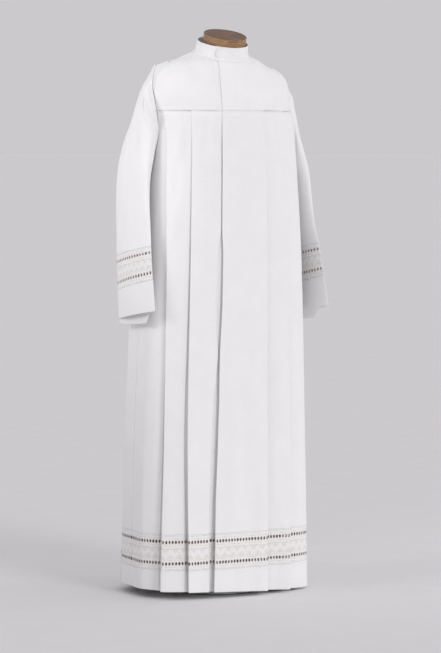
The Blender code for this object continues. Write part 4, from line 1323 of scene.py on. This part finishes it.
# Sleeves: long and straight, cut in one piece each and sewn flat into the armholes. They hang pressed flat
# against the sides, so each has a front and a back edge, and end in an openwork insertion and a deep cuff.
SLEEVE_STATIONS = np.array([
    # outer x of the right sleeve, of the left one, outer z, inner x, inner z, centre y, half depth, tilt
    (0.2230, 0.2120, 1.384, 0.2105, 1.186, -0.018, 0.060, 0),
    (0.2400, 0.2210, 1.314, 0.2120, 1.171, -0.008, 0.072, 0),
    (0.2590, 0.2435, 1.236, 0.2150, 1.146, 0.004, 0.084, 0),
    (0.2710, 0.2660, 1.166, 0.2175, 1.116, 0.010, 0.092, 0),
    (0.2760, 0.2770, 1.081, 0.2210, 1.061, 0.010, 0.097, 2),
    (0.2790, 0.2860, 0.996, 0.2250, 0.991, 0.002, 0.098, 6),
    (0.2840, 0.2940, 0.934, 0.2310, 0.934, -0.010, 0.098, 10),
    (0.2880, 0.3010, 0.856, 0.2350, 0.856, -0.024, 0.098, 11),
    (0.2920, 0.3040, 0.768, 0.2390, 0.768, -0.043, 0.098, 9),
])
SLEEVE_COLUMNS = 168
SLEEVE_INSERTION = 6.93
SLEEVE_CUFF = 8.1
SLEEVE_HEM = 9
CUFF_FLATNESS = 0.7
SLEEVE_FULLNESS = (1.0, 1.0, 0.95, 0.85, 0.75, 0.62, 0.5, 0.4, 0.34)
SLEEVE_TOE_IN = {"right": (0, 0, 0, 0, 2, 6, 9, 11, 12), "left": (0, 0, 0, 0, 0, 0, -1, -2, -3)}
SLEEVE_EYELET_PITCH = 12.6 * MM
SLEEVE_HEAD = {
    # front edge's way out, its height and its way back (m); valley's depth, turn and width, ridge's height
    "right": (0.009, 1.335, 0.014, 0.012, 84, 23, 0.0),
    "left": (-0.006, 1.30, 0.004, 0.006, 68, 30, -0.004),
}
# the shaping of the head: starts, ends, rings and lengths in ring numbers, turns and widths in degrees, and
# depths, drops and heights in metres
HEAD_START = (0.02, 0.22)
CREASE_START = (0.15, 0.9)
VALLEY_END = (0.8, 2.6)
RIDGE_END = (0.7, 2.2)
RIDGE_TURN = 18
RIDGE_WIDTH = 16
SEAM_GROOVE = 0.017
GROOVE_RING = 0.5
GROOVE_LENGTH = 0.36
GROOVE_TURN = 80
GROOVE_WIDTH = 34
EDGE_TURN = 88
EDGE_WIDTH = 42
EDGE_HEIGHT = 0.065
CUFF_INNER_DROP = 0.025
SLEEVE_FIRST_RINGS = (0, 0.03, 0.07, 0.12, 0.18, 0.25)
SLEEVE_HEAD_RINGS = 26
SLEEVE_LENGTH_RINGS = 48
RING_STEPS = 1440
ARMHOLE_CLEARANCE = 1.5 * MM
CUT_LENGTH_PER_RING = 0.07
SLEEVE_CREASES = {
    # from the outer middle towards the back, height from, across to, height to (mm), width, depth (mm)
    "right": ((-52, 1400, -60, 1215, 11, -9.0), (-22, 1410, -20, 1230, 9, 3.5), (0, 1330, 6, 1010, 8, 1.6),
              (8, 1180, 66, 960, 9, -2.2), (-40, 1140, -30, 1000, 10, 1.2), (52, 1300, 40, 1120, 12, 2.2),
              (-70, 1060, -20, 985, 8, -1.2), (-10, 980, 30, 900, 9, -1.0)),
    "left": ((-52, 1396, -56, 1240, 10, -6.0), (-22, 1400, -18, 1240, 9, 2.0), (14, 1330, 20, 1080, 9, 1.4),
             (60, 1290, 30, 1130, 12, 2.2), (-60, 1110, 10, 990, 9, -2.0), (-36, 1200, -50, 1050, 10, 1.6),
             (40, 1070, 66, 960, 9, 1.6)),
}


def armhole_ring(side, turns):
    """The armhole's edge at turns from the shoulder towards the back, just outside the body."""
    y = ARMHOLE_Y + ARMHOLE_HALF_DEPTH * np.sin(turns)
    up = np.cos(turns)
    z = YOKE_SEAM_Z + up * np.where(up > 0, ARMHOLE_RISE, ARMHOLE_DROP)
    width, middle, half_depth, square = section_at(z)
    x = width * (1 - (abs(y - middle) / half_depth) ** square) ** (1 / square)
    arch = np.concatenate([armhole_angles(quarter, corner)[::-1],
                           armhole_angles(quarter, math.pi - corner)[1:]])
    edge = yoke_point(arch, yoke_ends(arch))
    edge_turns = np.arctan2((edge[:, 1] - ARMHOLE_Y) / ARMHOLE_HALF_DEPTH,
                            np.maximum(edge[:, 2] - YOKE_SEAM_Z, 0) / ARMHOLE_RISE)
    x = np.where(up > 0, np.interp(wrapped(turns), edge_turns, edge[:, 0]), x)
    return np.column_stack([side * (x + ARMHOLE_CLEARANCE), y, z])


def sleeve_rings(side, turns):
    """The sleeve's rings from the armhole to the cuff's edge: outer point first, then round by the back."""
    rings = [armhole_ring(side, turns)]
    last = len(SLEEVE_STATIONS) - 1
    forward_less = np.where(np.sin(turns) < 0, np.sin(turns), np.sin(turns) / 4)
    for number, station in enumerate(SLEEVE_STATIONS):
        right_x, left_x, outer_z, inner_x, inner_z, y, half_depth, tilt = station
        outer = np.array((side * (left_x if side > 0 else right_x), y, outer_z))
        inner = np.array((side * inner_x, y, inner_z))
        tilt = math.radians(tilt)
        depth = half_depth * np.array((0.0, math.cos(tilt), -math.sin(tilt)))
        flat = 1 + CUFF_FLATNESS * eased(number, 2, last)
        reach = np.copysign(abs(np.cos(turns)) ** flat, np.cos(turns))
        half = (outer - inner) / 2 * (SLEEVE_FULLNESS[number], 1, 1)
        ring = (outer + inner) / 2 + half * reach[:, None] + depth * np.sin(turns)[:, None]
        ring[:, 0] += side * (SLEEVE_TOE_IN["left" if side > 0 else "right"][number] * MM * forward_less)
        rings.append(ring)
    return np.array(rings)


def sleeve_points(side, turns, positions, creases):
    """Points and distances round the sleeve at fractional ring numbers, with its creases."""
    points = flowing(sleeve_rings(side, turns), positions)
    around = np.linalg.norm(np.roll(points, -1, 1) - points, axis=2)
    along = np.cumsum(around, axis=1) - around
    total = around.sum(axis=1, keepdims=True)
    from_outer = np.where(along > total / 2, along - total, along) / MM
    if side > 0:
        points = np.roll(points[:, ::-1], 1, axis=1)
        from_outer = np.roll(from_outer[:, ::-1], 1, axis=1)
    lift = creased(from_outer, points[..., 2] / MM, creases) * eased(positions, *CREASE_START)[:, None]
    turned = np.degrees(np.where(turns > math.pi, turns - 2 * math.pi, turns))
    if side > 0:
        turned = np.roll(turned[::-1], 1)
    head = SLEEVE_HEAD["right" if side < 0 else "left"]
    edge_out, edge_z, edge_back, deep, valley_turn, valley_width, high = head
    start = eased(positions, *HEAD_START)[:, None]
    valley = np.exp(-((turned + valley_turn) / valley_width) ** 2) * start
    valley = valley * (1 - eased(positions, *VALLEY_END))[:, None]
    ridge = np.exp(-((turned + RIDGE_TURN) / RIDGE_WIDTH) ** 2) * start
    ridge = ridge * (1 - eased(positions, *RIDGE_END))[:, None]
    lift = lift + high * ridge - deep * valley
    if side < 0:
        groove = np.exp(-((positions - GROOVE_RING) / GROOVE_LENGTH) ** 2)[:, None] * start
        lift = lift - SEAM_GROOVE * groove * np.exp(-((turned + GROOVE_TURN) / GROOVE_WIDTH) ** 2)
    points = points + grid_normals(points, True) * lift[..., None]
    edge = np.exp(-((turned + EDGE_TURN) / EDGE_WIDTH) ** 2) * start
    edge = edge * np.exp(-((points[..., 2] - edge_z) / EDGE_HEIGHT) ** 2)
    points[..., 0] += side * edge_out * edge
    points[..., 1] += edge_back * edge
    return settled(points), from_outer


def add_tube(name, points, from_outer, positions, thickness):
    """A length of sleeve on its rings."""
    down = np.broadcast_to(-positions[:, None] * CUT_LENGTH_PER_RING, from_outer.shape)
    return add_cloth(name, points, np.stack([from_outer * MM, down], axis=-1), thickness, closed=True)


cuff_runs = []
# area of the shaped sleeve, and the cut widths of its insertion and cuff, from their solids
SLEEVE_CUTS = {"right": (0.1506, 0.418, 0.418), "left": (0.1477, 0.429, 0.430)}
for name, side in (("right", -1), ("left", 1)):
    cut = SLEEVE_CUTS[name]
    turns = np.linspace(0, 2 * math.pi, SLEEVE_COLUMNS, endpoint=False)
    positions = np.concatenate([
        SLEEVE_FIRST_RINGS, np.linspace(0.33, 2, SLEEVE_HEAD_RINGS),
        np.linspace(2.1, SLEEVE_INSERTION - 0.04, SLEEVE_LENGTH_RINGS), [SLEEVE_INSERTION - 0.002]])
    points, from_outer = sleeve_points(side, turns, positions, SLEEVE_CREASES[name])
    sleeve = add_tube(f"alb_sleeve_{name}", points, from_outer, positions, CLOTH)
    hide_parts(f"sleeve_{name}")

    fine = np.linspace(0, 2 * math.pi, RING_STEPS, endpoint=False)
    middle = (SLEEVE_INSERTION + SLEEVE_CUFF) / 2
    ring = flowing(sleeve_rings(side, fine), np.array([middle]))[0]
    travelled = run_length(np.concatenate([ring, ring[:1]]))
    count = round(travelled[-1] / SLEEVE_EYELET_PITCH) * CELLS
    distances = np.linspace(0, travelled[-1], count, endpoint=False)
    even_turns = np.interp(distances, travelled, np.append(fine, 2 * math.pi))
    positions = SLEEVE_INSERTION + band_shares * (SLEEVE_CUFF - SLEEVE_INSERTION) * 0.998 + 0.001
    points, _ = sleeve_points(side, even_turns, positions, ())
    band = openwork(f"alb_insertion_sleeve_{name}", points, distances, True, SLEEVE_HOLES, openwork_cloth)
    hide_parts(f"sleeve_lace_{name}")

    down = np.array((0.001, 0.03, 0.06, 0.1, 0.2, 0.32, 0.44, 0.56, 0.68, 0.8, 0.9, 0.96, 1.0))
    positions = SLEEVE_CUFF + down * (SLEEVE_HEM - SLEEVE_CUFF)
    points, from_outer = sleeve_points(side, turns, positions, ())
    order = turns if side < 0 else np.roll(turns[::-1], 1)
    inwards = np.maximum(-np.cos(order), 0) ** 0.35 * (1 - eased(-np.sin(order), 0.42, 0.66))
    points[..., 2] -= CUFF_INNER_DROP * (1 - 0.25 * np.sin(order)) * inwards * down[:, None] ** 1.5
    cuff = add_tube(f"alb_cuff_{name}", points, from_outer, positions, HEM_THICKNESS)
    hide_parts(f"cuff_{name}")
    out = grid_normals(points, True)[1]
    cuff_runs.append(stitch_line(points[1] + out * HEM_THICKNESS / 2, out))
cuff_thread = add_stitches("stitching_cuffs", cuff_runs)
